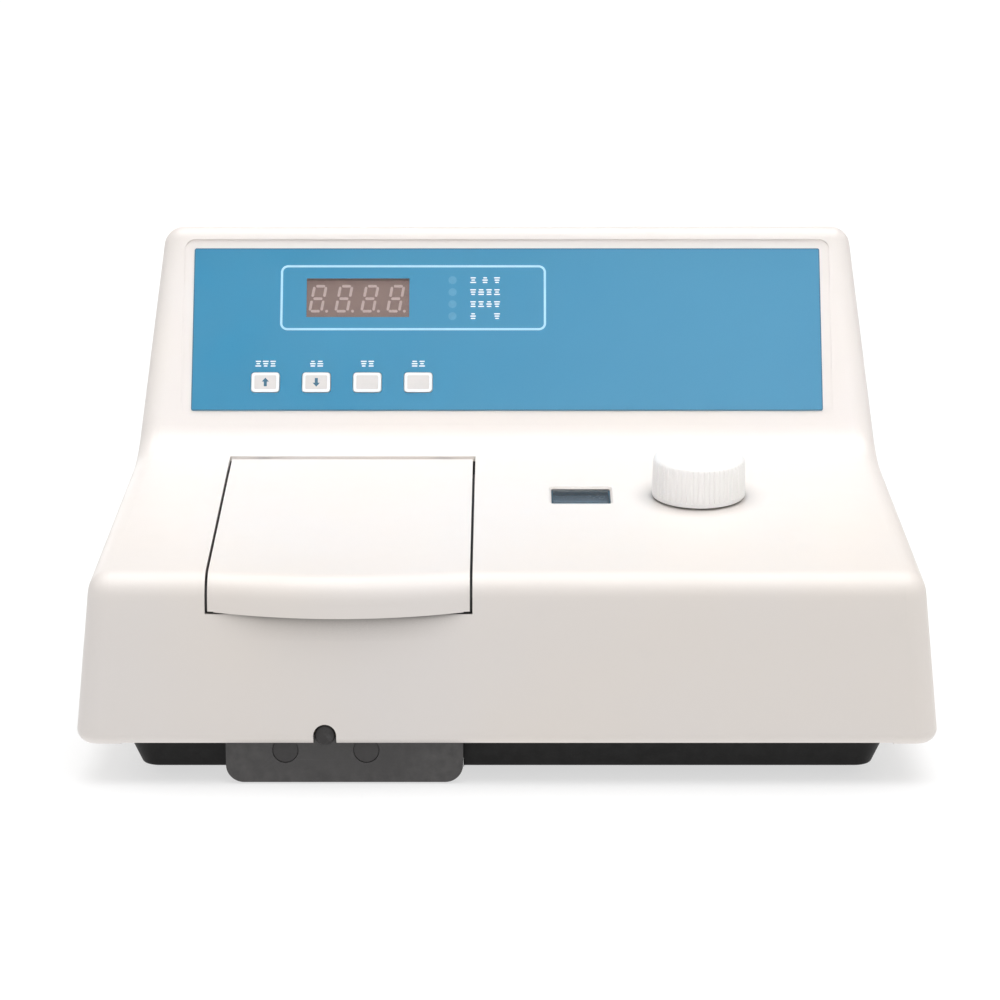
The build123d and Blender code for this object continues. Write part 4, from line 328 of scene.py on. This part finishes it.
M = {
    "casing_shell": casing_material(),
    "knob_white": finish(
        "knob_plastic", (0.95, 0.94, 0.93), 0.36,
        vary=0.015, mottle=40, grain=2200, grain_depth=0.00005, wear=0.1,
        wear_colour=(0.78, 0.74, 0.7),
    ),
    "tray_black": finish(
        "tray_paint", (0.0085, 0.008, 0.0078), 0.5,
        specular=0.2, rough_vary=0.02, vary=0.1, mottle=30, grain=1400, grain_depth=0.00012,
        wear=0.06, wear_colour=(0.1, 0.1, 0.1),
    ),
    "compartment_grey": finish(
        "compartment_plastic", (0.06, 0.057, 0.057), 0.5,
        vary=0.08, mottle=35, grain=1300, grain_depth=0.0001, wear=0.3,
        wear_colour=(0.14, 0.135, 0.13),
    ),
    "foam_black": finish(
        "foam", (0.015, 0.015, 0.016), 0.9,
        vary=0.3, mottle=120, grain=1600, grain_depth=0.0006,
    ),
    "foot_rubber": finish(
        "rubber", (0.016, 0.016, 0.017), 0.75,
        vary=0.25, mottle=90, grain=1200, grain_depth=0.0002, wear=0.4,
        wear_colour=(0.06, 0.06, 0.06),
    ),
    "screw_dark": finish(
        "blackened_steel", (0.13, 0.125, 0.125), 0.65,
        metal=0.0, vary=0.2, mottle=150, wear=0.25, wear_colour=(0.1, 0.1, 0.1),
    ),
    "screw_steel": finish(
        "zinc_plate", (0.62, 0.63, 0.65), 0.32,
        metal=1.0, vary=0.1, mottle=300, grain=1500, wear=0.4, wear_colour=(0.85, 0.85, 0.85),
    ),
    "bracket_steel": finish(
        "bracket_zinc", (0.55, 0.56, 0.57), 0.38,
        metal=1.0, vary=0.12, mottle=200,
    ),
    "shaft_steel": finish(
        "ground_steel", (0.6, 0.6, 0.61), 0.22,
        metal=1.0, vary=0.06, mottle=120, grain=700, brushed=(9.0, 0.6, 0.6),
    ),
    "panel_blue": film_material(),
    "display_smoke": glass_material("display_pane", (0.3, 0.2, 0.175), 0.16),
    "display_body": finish(
        "display_case", (0.3, 0.225, 0.205), 0.5,
        vary=0.08, mottle=220, grain=1800,
    ),
    "display_segment": finish(
        "segment_resin", (0.74, 0.63, 0.6), 0.4,
        vary=0.06, mottle=400, grain=2400,
    ),
    "lamp_lens": finish(
        "lamp_resin", (0.17, 0.38, 0.52), 0.3,
        coat=0.3, vary=0.1, mottle=500, grain=2400,
    ),
    "circuit_board": board_material(),
    "component_black": finish(
        "component_resin", (0.02, 0.02, 0.021), 0.45,
        vary=0.2, mottle=160, grain=1500,
    ),
    "key_cap": finish(
        "key_plastic", (0.9, 0.93, 0.95), 0.34,
        vary=0.015, mottle=160, grain=2600, wear=0.1, wear_colour=(0.8, 0.8, 0.8),
    ),
    "bearing_brass": finish(
        "bearing_brass", (0.72, 0.5, 0.2), 0.3,
        metal=1.0, vary=0.1, mottle=180, grain=900,
    ),
    "gear_brass": finish(
        "gear_brass", (0.75, 0.54, 0.24), 0.28,
        metal=1.0, vary=0.1, mottle=150, grain=900,
    ),
    "dial_blue": finish("dial_enamel", (0.075, 0.14, 0.195), 0.4, vary=0.1, mottle=80, grain=1500),
    "window_clear": window_material(),
    "cast_grey": finish(
        "casting_paint", (0.16, 0.165, 0.17), 0.6,
        vary=0.12, mottle=70, grain=700, grain_depth=0.0004, wear=0.3,
    ),
    "cover_black": finish(
        "cover_anodised", (0.05, 0.05, 0.055), 0.4,
        metal=0.6, vary=0.12, mottle=60, grain=900, brushed=(1.0, 14.0, 1.0),
    ),
    "post_steel": finish("post_zinc", (0.58, 0.58, 0.58), 0.35, metal=1.0, vary=0.1, mottle=150),
    "blackened_metal": finish(
        "black_anodised", (0.02, 0.02, 0.021), 0.55,
        metal=0.4, vary=0.2, mottle=120, grain=1200,
    ),
    "mirror_face": finish(
        "silvering", (0.88, 0.9, 0.92), 0.05,
        metal=1.0, vary=0.02, mottle=60, rough_vary=0.03, grain_depth=0.000005,
    ),
    "grating_face": finish(
        "ruled_silvering", (0.7, 0.78, 0.85), 0.12,
        metal=1.0, vary=0.08, mottle=40, grain=4000, brushed=(1.0, 40.0, 1.0),
    ),
    "sheet_steel": finish(
        "lamp_sheet", (0.5, 0.5, 0.5), 0.42,
        metal=1.0, vary=0.12, mottle=45, grain=600, brushed=(12.0, 1.0, 1.0),
    ),
    "lens_glass": glass_material("lens_glass", (0.85, 0.93, 0.96), 0.3, 0.02),
    "ceramic_white": finish(
        "ceramic", (0.8, 0.77, 0.7), 0.7,
        vary=0.05, mottle=150, grain=900, grain_depth=0.0002,
    ),
    "bulb_glass": glass_material("quartz", (0.9, 0.92, 0.95), 0.3, 0.02),
    "photodiode_can": finish("gold_can", (0.8, 0.66, 0.4), 0.25, metal=1.0, vary=0.06),
    "rack_black": finish(
        "rack_anodised", (0.018, 0.018, 0.02), 0.42,
        metal=0.5, vary=0.2, mottle=90, grain=1100, wear=0.6, wear_colour=(0.2, 0.2, 0.21),
    ),
    "rod_knob_dark": finish(
        "rod_knob_plastic", (0.036, 0.033, 0.033), 0.6,
        vary=0.15, mottle=150, grain=1500, wear=0.3, wear_colour=(0.12, 0.12, 0.12),
    ),
    "core_steel": finish(
        "laminations", (0.15, 0.14, 0.135), 0.5,
        metal=0.7, vary=0.2, mottle=30, grain=500, brushed=(1.0, 1.0, 30.0),
    ),
    "winding_tape": finish(
        "winding_tape", (0.72, 0.5, 0.08), 0.4,
        vary=0.1, mottle=60, grain=400, brushed=(1.0, 1.0, 12.0),
    ),
    "rear_plate": finish(
        "rear_powder", (0.52, 0.51, 0.49), 0.5,
        vary=0.05, mottle=40, grain=1100, grain_depth=0.0002, wear=0.3,
        wear_colour=(0.65, 0.65, 0.64),
    ),
    "plug_black": finish(
        "inlet_nylon", (0.018, 0.018, 0.019), 0.42,
        vary=0.2, mottle=130, grain=1300, wear=0.2, wear_colour=(0.07, 0.07, 0.07),
    ),
    "pin_metal": finish("nickel_pin", (0.72, 0.69, 0.62), 0.18, metal=1.0, vary=0.08, mottle=300),
    "rocker_black": finish(
        "rocker_nylon", (0.014, 0.014, 0.015), 0.3,
        vary=0.15, mottle=150, grain=1600, wear=0.2, wear_colour=(0.06, 0.06, 0.06),
    ),
    "port_metal": finish("port_nickel", (0.66, 0.66, 0.67), 0.25, metal=1.0, vary=0.1, mottle=200),
}
for part in frame["record"]["subparts"]:
    mesh = nodes[part["node"]].data
    mesh.materials.clear()
    mesh.materials.append(M[part["material_slot"]])

ink_white = finish("print_white", (0.86, 0.92, 0.95), 0.42, vary=0.03, mottle=300, grain=2400)
ink_pale = finish("print_pale_blue", (0.42, 0.72, 0.9), 0.4, vary=0.03, mottle=300, grain=2400)
ink_dark = finish("print_slate", (0.045, 0.15, 0.24), 0.42, vary=0.08, mottle=400, grain=2400)
ink_edge = finish("print_edge_blue", (0.045, 0.15, 0.24), 0.42, vary=0.06, mottle=300, grain=2400)
ink_lamp = finish("print_lamp_tint", (0.085, 0.31, 0.49), 0.36, vary=0.06, mottle=500, grain=2400)
key_inlay = finish("key_inlay", (0.7, 0.68, 0.665), 0.42, vary=0.02, mottle=200, grain=2400)
plug_rubber = finish("plug_rubber", (0.048, 0.045, 0.045), 0.6, vary=0.1, mottle=60, grain=1500)
dial_ink = finish("dial_ink", (0.3, 0.4, 0.46), 0.45, vary=0.05, mottle=300, grain=2400)


# --- Flat pieces ----------------------------------------------------------------------------------
def rounded(width, height, radius, steps=6):
    """Outline of a rounded rectangle about the origin, in millimetres."""
    points = []
    for corner in range(4):
        cx = (width / 2 - radius) * (1 if corner in (0, 3) else -1)
        cy = (height / 2 - radius) * (1 if corner in (0, 1) else -1)
        for k in range(steps + 1):
            angle = math.pi / 2 * (corner + k / steps)
            points.append((cx + radius * math.cos(angle), cy + radius * math.sin(angle)))
    return points


def plate(bm, face, outline, x, s, n, height, hole=None):
    """Adds a flat plate with its outline centred at (x, s), from n up by height, to a bmesh."""
    rings = []
    for level in (n, n + height):
        rings.append([bm.verts.new(face.at(x + px, s + ps, level)) for px, ps in outline])
    count = len(outline)
    if hole:
        inner = []
        for level in (n, n + height):
            inner.append([bm.verts.new(face.at(x + px, s + ps, level)) for px, ps in hole])
        for k in range(count):
            j = (k + 1) % count
            bm.faces.new((rings[1][k], rings[1][j], inner[1][j], inner[1][k]))
            bm.faces.new((rings[0][j], rings[0][k], inner[0][k], inner[0][j]))
            bm.faces.new((inner[0][k], inner[1][k], inner[1][j], inner[0][j]))
    else:
        bm.faces.new(rings[1])
        bm.faces.new(list(reversed(rings[0])))
    for k in range(count):
        j = (k + 1) % count
        bm.faces.new((rings[0][k], rings[0][j], rings[1][j], rings[1][k]))


def piece(name, bm, material, body, bevel=0.0):
    """Turns a bmesh into a named piece that rides on a body."""
    bmesh.ops.recalc_face_normals(bm, faces=bm.faces)
    mesh = bpy.data.meshes.new(name)
    bm.to_mesh(mesh)
    bm.free()
    mesh.materials.append(material)
    thing = bpy.data.objects.new(name, mesh)
    bpy.context.collection.objects.link(thing)
    if bevel:
        rounding = thing.modifiers.new("bevel", "BEVEL")
        rounding.width = bevel * MM
        rounding.segments = 2
        rounding.limit_method = "ANGLE"
    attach(thing, body)
    return thing


# --- Prints on the panel film ---------------------------------------------------------------------
FILM_T, PRINT_T = 0.5, 0.05
FILM_TOP = FILM_T / 2

# The pale line round the display and the lamps.
OUTLINE_W, OUTLINE_H, OUTLINE_X, OUTLINE_LINE = 130.0, 33.6, 27.1, 1.1
bm = bmesh.new()
outline = rounded(OUTLINE_W, OUTLINE_H, 3.6, 10)
hole = rounded(OUTLINE_W - 2 * OUTLINE_LINE, OUTLINE_H - 2 * OUTLINE_LINE, 2.5, 10)
plate(bm, SCREEN, outline, OUTLINE_X, 0.0, FILM_TOP, PRINT_T, hole=hole)
piece("panel_outline", bm, ink_pale, "chassis")

# The dark line along the edge of the film.
EDGE_INSET, EDGE_LINE = 0.05, 0.45
bm = bmesh.new()
film_low, film_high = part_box("panel_overlay")
film_mid = (Vector(film_low) + Vector(film_high)) / 2 - SCREEN.origin
film_w = (film_high[0] - film_low[0]) / MM
film_up = [SCREEN.up.dot(v.co - SCREEN.origin) / MM for v in nodes["panel_overlay"].data.vertices]
film_h, film_s = max(film_up) - min(film_up), (max(film_up) + min(film_up)) / 2
outline = rounded(film_w - 2 * EDGE_INSET, film_h - 2 * EDGE_INSET, 0.95, 6)
hole = rounded(film_w - 2 * (EDGE_INSET + EDGE_LINE), film_h - 2 * (EDGE_INSET + EDGE_LINE), 0.5, 6)
plate(bm, SCREEN, outline, film_mid.x / MM, film_s, FILM_TOP, PRINT_T, hole=hole)
piece("panel_edge", bm, ink_edge, "chassis")

# The windows of the four lamps, each over its lamp.
LAMP_COUNT, LAMP_PITCH, LAMP_R, LAMP_WINDOW_D = 4, 6.2, 1.5, 4.0
lamps = [v.co - SCREEN.origin for v in nodes["status_leds"].data.vertices]
lamp_x = sum(SCREEN.right.dot(v) for v in lamps) / len(lamps) / MM
lamp_top = max(SCREEN.up.dot(v) for v in lamps) / MM - LAMP_R
lamp_rows = [lamp_top - k * LAMP_PITCH for k in range(LAMP_COUNT)]
bm = bmesh.new()
lamp_window = rounded(LAMP_WINDOW_D, LAMP_WINDOW_D, 1.95, 8)
for row in lamp_rows:
    plate(bm, SCREEN, lamp_window, lamp_x, row, FILM_TOP, PRINT_T / 2)
piece("lamp_windows", bm, ink_lamp, "chassis")

# The captions beside the lamps and above the keys, as plain bars.
SIGN, SIGN_BAR, SIGN_PITCH = 3.1, 0.2, 0.38  # the height of a sign, and parts of it
LAMP_SIGN_X, LAMP_SIGN_STEP = 10.1, 3.0
KEY_SIGN_S, KEY_SIGN_STEP = 10.1, 3.6
BAR_LENGTHS = (
    (0.85, 0.6, 0.95),
    (0.6, 0.9, 0.75),
    (0.95, 0.8, 0.6),
    (0.75, 0.95, 0.9),
    (0.9, 0.7, 0.8),
)
LAMP_SIGNS = ((0, 1.95, 3.9), (0, 1.3, 2.6, 3.9), (0, 1.3, 2.6, 3.9), (0, 3.9))
KEY_SIGNS = {"key_up": 3, "key_down": 2, "key_print": 2, "key_mode": 2}


def sign(bm, x, s, lengths):
    """A mark where a sign of a caption would be: three short level bars, which spell nothing."""
    bar = SIGN * SIGN_BAR
    for row, length in enumerate(lengths):
        level = s + SIGN * (SIGN_PITCH - SIGN_PITCH * row)
        plate(bm, SCREEN, rounded(SIGN * length, bar, bar * 0.45, 2), x, level, FILM_TOP, PRINT_T)


bm = bmesh.new()
for row, (level, places) in enumerate(zip(lamp_rows, LAMP_SIGNS)):
    for k, place in enumerate(places):
        lengths = BAR_LENGTHS[(row * 2 + k) % len(BAR_LENGTHS)]
        sign(bm, lamp_x + LAMP_SIGN_X + LAMP_SIGN_STEP * place, level, lengths)
for key, (name, count) in enumerate(KEY_SIGNS.items()):
    mid = middle(name) - SCREEN.origin
    key_x = mid.dot(SCREEN.right) / MM
    key_s = mid.dot(SCREEN.up) / MM
    for k in range(count):
        lengths = BAR_LENGTHS[(key + 2 * k) % len(BAR_LENGTHS)]
        sign(bm, key_x + (k - (count - 1) / 2) * KEY_SIGN_STEP, key_s + KEY_SIGN_S, lengths)
piece("panel_captions", bm, ink_white, "chassis")

# --- Inlays and arrows of the keys ----------------------------------------------------------------
KEY_W, KEY_H, KEY_RIM = 13.6, 10.0, 1.45
INLAY_T, ARROW_T = 0.06, 0.04
TOP_BAND = 0.01  # how far below its highest point a key still counts as its flat top
ARROW_UP = (
    (-0.75, -2.1),
    (0.75, -2.1),
    (0.75, 0.3),
    (1.75, 0.3),
    (0.0, 2.3),
    (-1.75, 0.3),
    (-0.75, 0.3),
)
ARROW_TURNS = {"key_up": 1, "key_down": -1}
for name in KEY_SIGNS:
    points = [v.co - SCREEN.origin for v in nodes[name].data.vertices]
    top = max(SCREEN.out.dot(v) for v in points) / MM
    face_points = [v for v in points if SCREEN.out.dot(v) / MM > top - TOP_BAND]
    x = (middle(name) - SCREEN.origin).dot(SCREEN.right) / MM
    s = sum(SCREEN.up.dot(v) for v in face_points) / len(face_points) / MM
    bm = bmesh.new()
    plate(bm, SCREEN, rounded(KEY_W - 2 * KEY_RIM, KEY_H - 2 * KEY_RIM, 0.7), x, s, top, INLAY_T)
    piece(name + "_inlay", bm, key_inlay, name, bevel=0.02)
    if name in ARROW_TURNS:
        bm = bmesh.new()
        turn = ARROW_TURNS[name]
        outline = [(turn * px, turn * ps) for px, ps in ARROW_UP]
        plate(bm, SCREEN, outline, x, s, top + INLAY_T, ARROW_T)
        piece(name + "_arrow", bm, ink_dark, name)


# --- On and off marks moulded into the rocker -----------------------------------------------------
def broad_faces(node, towards, count):
    """The largest flat faces of a CAD node that look along a direction, as (centre, normal)."""
    groups = {}
    for polygon in nodes[node].data.polygons:
        if polygon.normal.dot(towards) > 0.8:
            groups.setdefault(tuple(round(c, 2) for c in polygon.normal), []).append(polygon)
    ranked = sorted(groups.values(), key=lambda group: -sum(p.area for p in group))[:count]
    faces = []
    for group in ranked:
        area = sum(p.area for p in group)
        centre = sum((p.center * p.area for p in group), Vector()) / area
        faces.append((centre, group[0].normal.copy()))
    return faces


MARK_SINK, MARK_T = 0.02, 0.14
BAR_W, BAR_H, RING_D, RING_HOLE_D = 0.7, 3.6, 3.8, 2.5
rocker_faces = broad_faces("power_rocker", Vector((0, 1, 0)), 2)
lower_face, upper_face = sorted(rocker_faces, key=lambda face: face[0].z)
bm = bmesh.new()
plate(bm, Face(*lower_face), rounded(BAR_W, BAR_H, 0.3, 4), 0, 0, -MARK_SINK, MARK_T)
ring, hole = rounded(RING_D, RING_D, 1.85, 8), rounded(RING_HOLE_D, RING_HOLE_D, 1.2, 8)
plate(bm, Face(*upper_face), ring, 0, 0, -MARK_SINK, MARK_T, hole=hole)
piece("rocker_marks", bm, ink_white, "power_rocker")

# --- Surround of the pull rod, plugs of the screw pockets, and painted shade in the tray's gaps ---
STAND_OFF = 0.02  # between a fitted piece and the CAD face beside it
SURROUND_T, SURROUND_GAP, SURROUND_STEPS = 0.45, 0.2, 48
block_low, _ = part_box("cell_compartment")
front_face = Face((middle("rod_knob").x, block_low[1], middle("rod_knob").z), (0, -1, 0))
knob_low, knob_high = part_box("rod_knob")
bush_low, bush_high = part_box("rod_bushing")
hole_r = (knob_high[0] - knob_low[0]) / 2 / MM + SURROUND_GAP
arch_r = (bush_high[0] - bush_low[0]) / 2 / MM + SURROUND_GAP / 2
outline, hole = [], []
for step in range(SURROUND_STEPS):
    angle = 2 * math.pi * step / SURROUND_STEPS
    ca, sa = math.cos(angle), math.sin(angle)
    # The arch is round above the rod and square below it.
    outer = arch_r if sa >= 0 else arch_r / max(abs(ca), abs(sa))
    outline.append((outer * ca, outer * sa))
    hole.append((hole_r * ca, hole_r * sa))
bm = bmesh.new()
plate(bm, front_face, outline, 0, 0, STAND_OFF, SURROUND_T, hole=hole)
piece("rod_surround", bm, M["compartment_grey"], "chassis", bevel=0.05)

PLUG_D, PLUG_T, PLUG_DEPTH = 11.2, 0.4, 0.3
disc = rounded(PLUG_D, PLUG_D, PLUG_D / 2 - 0.05, 10)
screw_points = [v.co for v in nodes["compartment_screws"].data.vertices]
screws_mid = middle("compartment_screws")
bm = bmesh.new()
for side in (-1, 1):
    screw_x = [v.x for v in screw_points if side * (v.x - screws_mid.x) > 0]
    plug = Face(((min(screw_x) + max(screw_x)) / 2, block_low[1], screws_mid.z), (0, -1, 0))
    plate(bm, plug, disc, 0, 0, -PLUG_DEPTH - PLUG_T, PLUG_T)
piece("pocket_plugs", bm, plug_rubber, "chassis", bevel=0.1)

# Black strips in the gaps beside the block, below the casing, are painted shade: a dark sheet where the gaps show
# only shade.
GAP_STRIP_W, GAP_STRIP_T, GAP_STRIP_BACK = 0.26, 3.0, 9
tray_low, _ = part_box("base_tray")
casing_low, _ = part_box("casing")
strip_h = (casing_low[2] - tray_low[2]) / MM
strip_z = (casing_low[2] + tray_low[2]) / 2
bm = bmesh.new()
# Only the part of the block below the casing counts, because its flange above is wider.
below = casing_low[2] - 2 * MM
block_x = [v.co.x for v in nodes["cell_compartment"].data.vertices if v.co.z < below]
for side, x in ((-1, min(block_x)), (1, max(block_x))):
    strip_x = x + side * (GAP_STRIP_W / 2 + STAND_OFF) * MM
    strip = Face((strip_x, tray_low[1] + GAP_STRIP_BACK * MM, strip_z), (0, -1, 0))
    plate(bm, strip, rounded(GAP_STRIP_W, strip_h, GAP_STRIP_W / 3, 3), 0, 0, 0, GAP_STRIP_T)
piece("gap_shade_strips", bm, M["foam_black"], "chassis")

# --- Dial scale: ticks and numbers on the wavelength dial -----------------------------------------
DIAL_N = -6.5  # the face of the dial, below the knob's origin
DIAL_START, DIAL_SWEEP = 180 - 140, 280  # degrees at the knob, one tick for each
TICK_RIM, TICK_LONG, TICK_HALFWAY, TICK_SHORT = 70.4, 66.2, 67.6, 68.6
TICK_T, LONG_HALF_W, SHORT_HALF_W = 0.05, 0.16, 0.1
NUMBER_EVERY, NUMBER_R, NUMBER_SIZE, NUMBER_SINK = 20, 46.0, 6.2, 0.03
FIRST_NM, NM_PER_DEGREE = 330, 2

bm = bmesh.new()
for step in range(DIAL_SWEEP + 1):
    angle = math.radians(DIAL_START + step)
    long = step % 10 == 0
    inner = TICK_LONG if long else (TICK_HALFWAY if step % 5 == 0 else TICK_SHORT)
    mid_r, half = (inner + TICK_RIM) / 2, (TICK_RIM - inner) / 2
    ca, sa = math.cos(angle), math.sin(angle)
    width = LONG_HALF_W if long else SHORT_HALF_W
    outline = []
    for u, w in ((-half, -width), (half, -width), (half, width), (-half, width)):
        outline.append((mid_r * ca + u * ca - w * sa, mid_r * sa + u * sa + w * ca))
    plate(bm, KNOB, outline, 0, 0, DIAL_N, TICK_T)
piece("dial_ticks", bm, dial_ink, "wavelength_drive")

bpy.context.view_layer.update()
for step in range(0, DIAL_SWEEP + 1, NUMBER_EVERY):
    curve = bpy.data.curves.new("dial_number", "FONT")
    curve.body = str(FIRST_NM + NM_PER_DEGREE * step)
    curve.align_x = "RIGHT"
    curve.align_y = "CENTER"
    curve.size = NUMBER_SIZE * MM
    curve.extrude = NUMBER_SINK * MM
    curve.resolution_u = 3
    text = bpy.data.objects.new("dial_number", curve)
    bpy.context.collection.objects.link(text)
    bpy.context.view_layer.update()
    solid_text = text.evaluated_get(bpy.context.evaluated_depsgraph_get())
    mesh = bpy.data.meshes.new_from_object(solid_text)
    bpy.data.objects.remove(text)
    # A number reads towards the middle of the dial.
    angle = math.radians(DIAL_START + step)
    radial = KNOB.right * math.cos(angle) + KNOB.up * math.sin(angle)
    inward = -radial
    across = KNOB.out.cross(inward)
    matrix = Matrix((inward, across, KNOB.out)).transposed().to_4x4()
    matrix.translation = KNOB.at(0, 0, DIAL_N + NUMBER_SINK) + radial * NUMBER_R * MM
    mesh.transform(matrix)
    mesh.materials.clear()
    mesh.materials.append(dial_ink)
    number = bpy.data.objects.new(f"dial_number_{FIRST_NM + NM_PER_DEGREE * step}", mesh)
    bpy.context.collection.objects.link(number)
    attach(number, "wavelength_drive")

# --- Floor ----------------------------------------------------------------------------------------
FLOOR_REACH, FLOOR_GLOW = 6.0, 0.64
mesh = bpy.data.meshes.new("floor")
corners = [(x * FLOOR_REACH, y * FLOOR_REACH, 0) for x, y in ((-1, -1), (1, -1), (1, 1), (-1, 1))]
mesh.from_pydata(corners, [], [(0, 1, 2, 3)])
floor = bpy.data.objects.new("floor", mesh)
bpy.context.collection.objects.link(floor)
paper = bpy.data.materials.new("paper")
n = Nodes(paper)
tone = n.mix(n.noise(3.0), (0.33, 0.33, 0.33, 1), (0.35, 0.35, 0.35, 1))
n.link(tone, n.shader.inputs["Base Color"])
n.shader.inputs["Roughness"].default_value = 0.85
n.shader.inputs["Emission Color"].default_value = (1.0, 1.0, 1.0, 1.0)
n.shader.inputs["Emission Strength"].default_value = FLOOR_GLOW
mesh.materials.append(paper)

# --- Light: an even white studio, a broad overhead sun and three soft boxes -----------------------
SKY_STRENGTH, SUN_POWER, SUN_SPREAD, SUN_LEAN = 0.29, 2.8, 60, 3
world = bpy.data.worlds.new("studio")
bpy.context.scene.world = world
world.use_nodes = True
background = world.node_tree.nodes["Background"]
background.inputs["Color"].default_value = (1.0, 1.0, 1.0, 1)
background.inputs["Strength"].default_value = SKY_STRENGTH


def softbox(name, place, target, size, power):
    """A rectangular area light at a place, turned towards a target."""
    light = bpy.data.lights.new(name, "AREA")
    light.shape = "RECTANGLE"
    light.size, light.size_y = size
    light.energy = power
    lamp = bpy.data.objects.new(name, light)
    bpy.context.collection.objects.link(lamp)
    lamp.location = place
    lamp.rotation_euler = (Vector(target) - Vector(place)).to_track_quat("-Z", "Y").to_euler()
    return light


sun = bpy.data.lights.new("overhead", "SUN")
sun.energy = SUN_POWER
sun.angle = math.radians(SUN_SPREAD)
sun_lamp = bpy.data.objects.new("overhead", sun)
bpy.context.collection.objects.link(sun_lamp)
sun_lamp.rotation_euler = (0, math.radians(SUN_LEAN), 0)

grid = softbox("grid_front", (0.0, -1.30, 0.74), (0.0, 0.02, 0.15), (0.9, 0.2), 0.115)
grid.spread = math.radians(4)
softbox("back_fill", (-0.3, 1.9, 0.28), (0.0, 0.1, 0.1), (1.4, 0.4), 4.0)
softbox("right_sheen", (0.36, -1.36, 1.55), (0.0, 0.07, 0.16), (0.8, 0.5), 2.4)

# --- Camera ---------------------------------------------------------------------------------------
PITCH = math.radians(12.0)
TARGET = Vector((0, 0.002, 0.102))
DISTANCE, LENS, SHIFT_X, SHIFT_Y = 1.8558, 140.6, -0.007, -0.0064
camera_data = bpy.data.cameras.new("camera")
camera = bpy.data.objects.new("camera", camera_data)
bpy.context.collection.objects.link(camera)
camera_data.sensor_width = 36.0
camera_data.lens = LENS
camera_data.shift_x = SHIFT_X
camera_data.shift_y = SHIFT_Y
camera_data.clip_end = 30.0
camera.location = TARGET + DISTANCE * Vector((0, -math.cos(PITCH), math.sin(PITCH)))
camera.rotation_euler = (math.pi / 2 - PITCH, 0, 0)
bpy.context.scene.camera = camera
bpy.context.scene.view_settings.view_transform = "Standard"

bpy.context.view_layer.update()
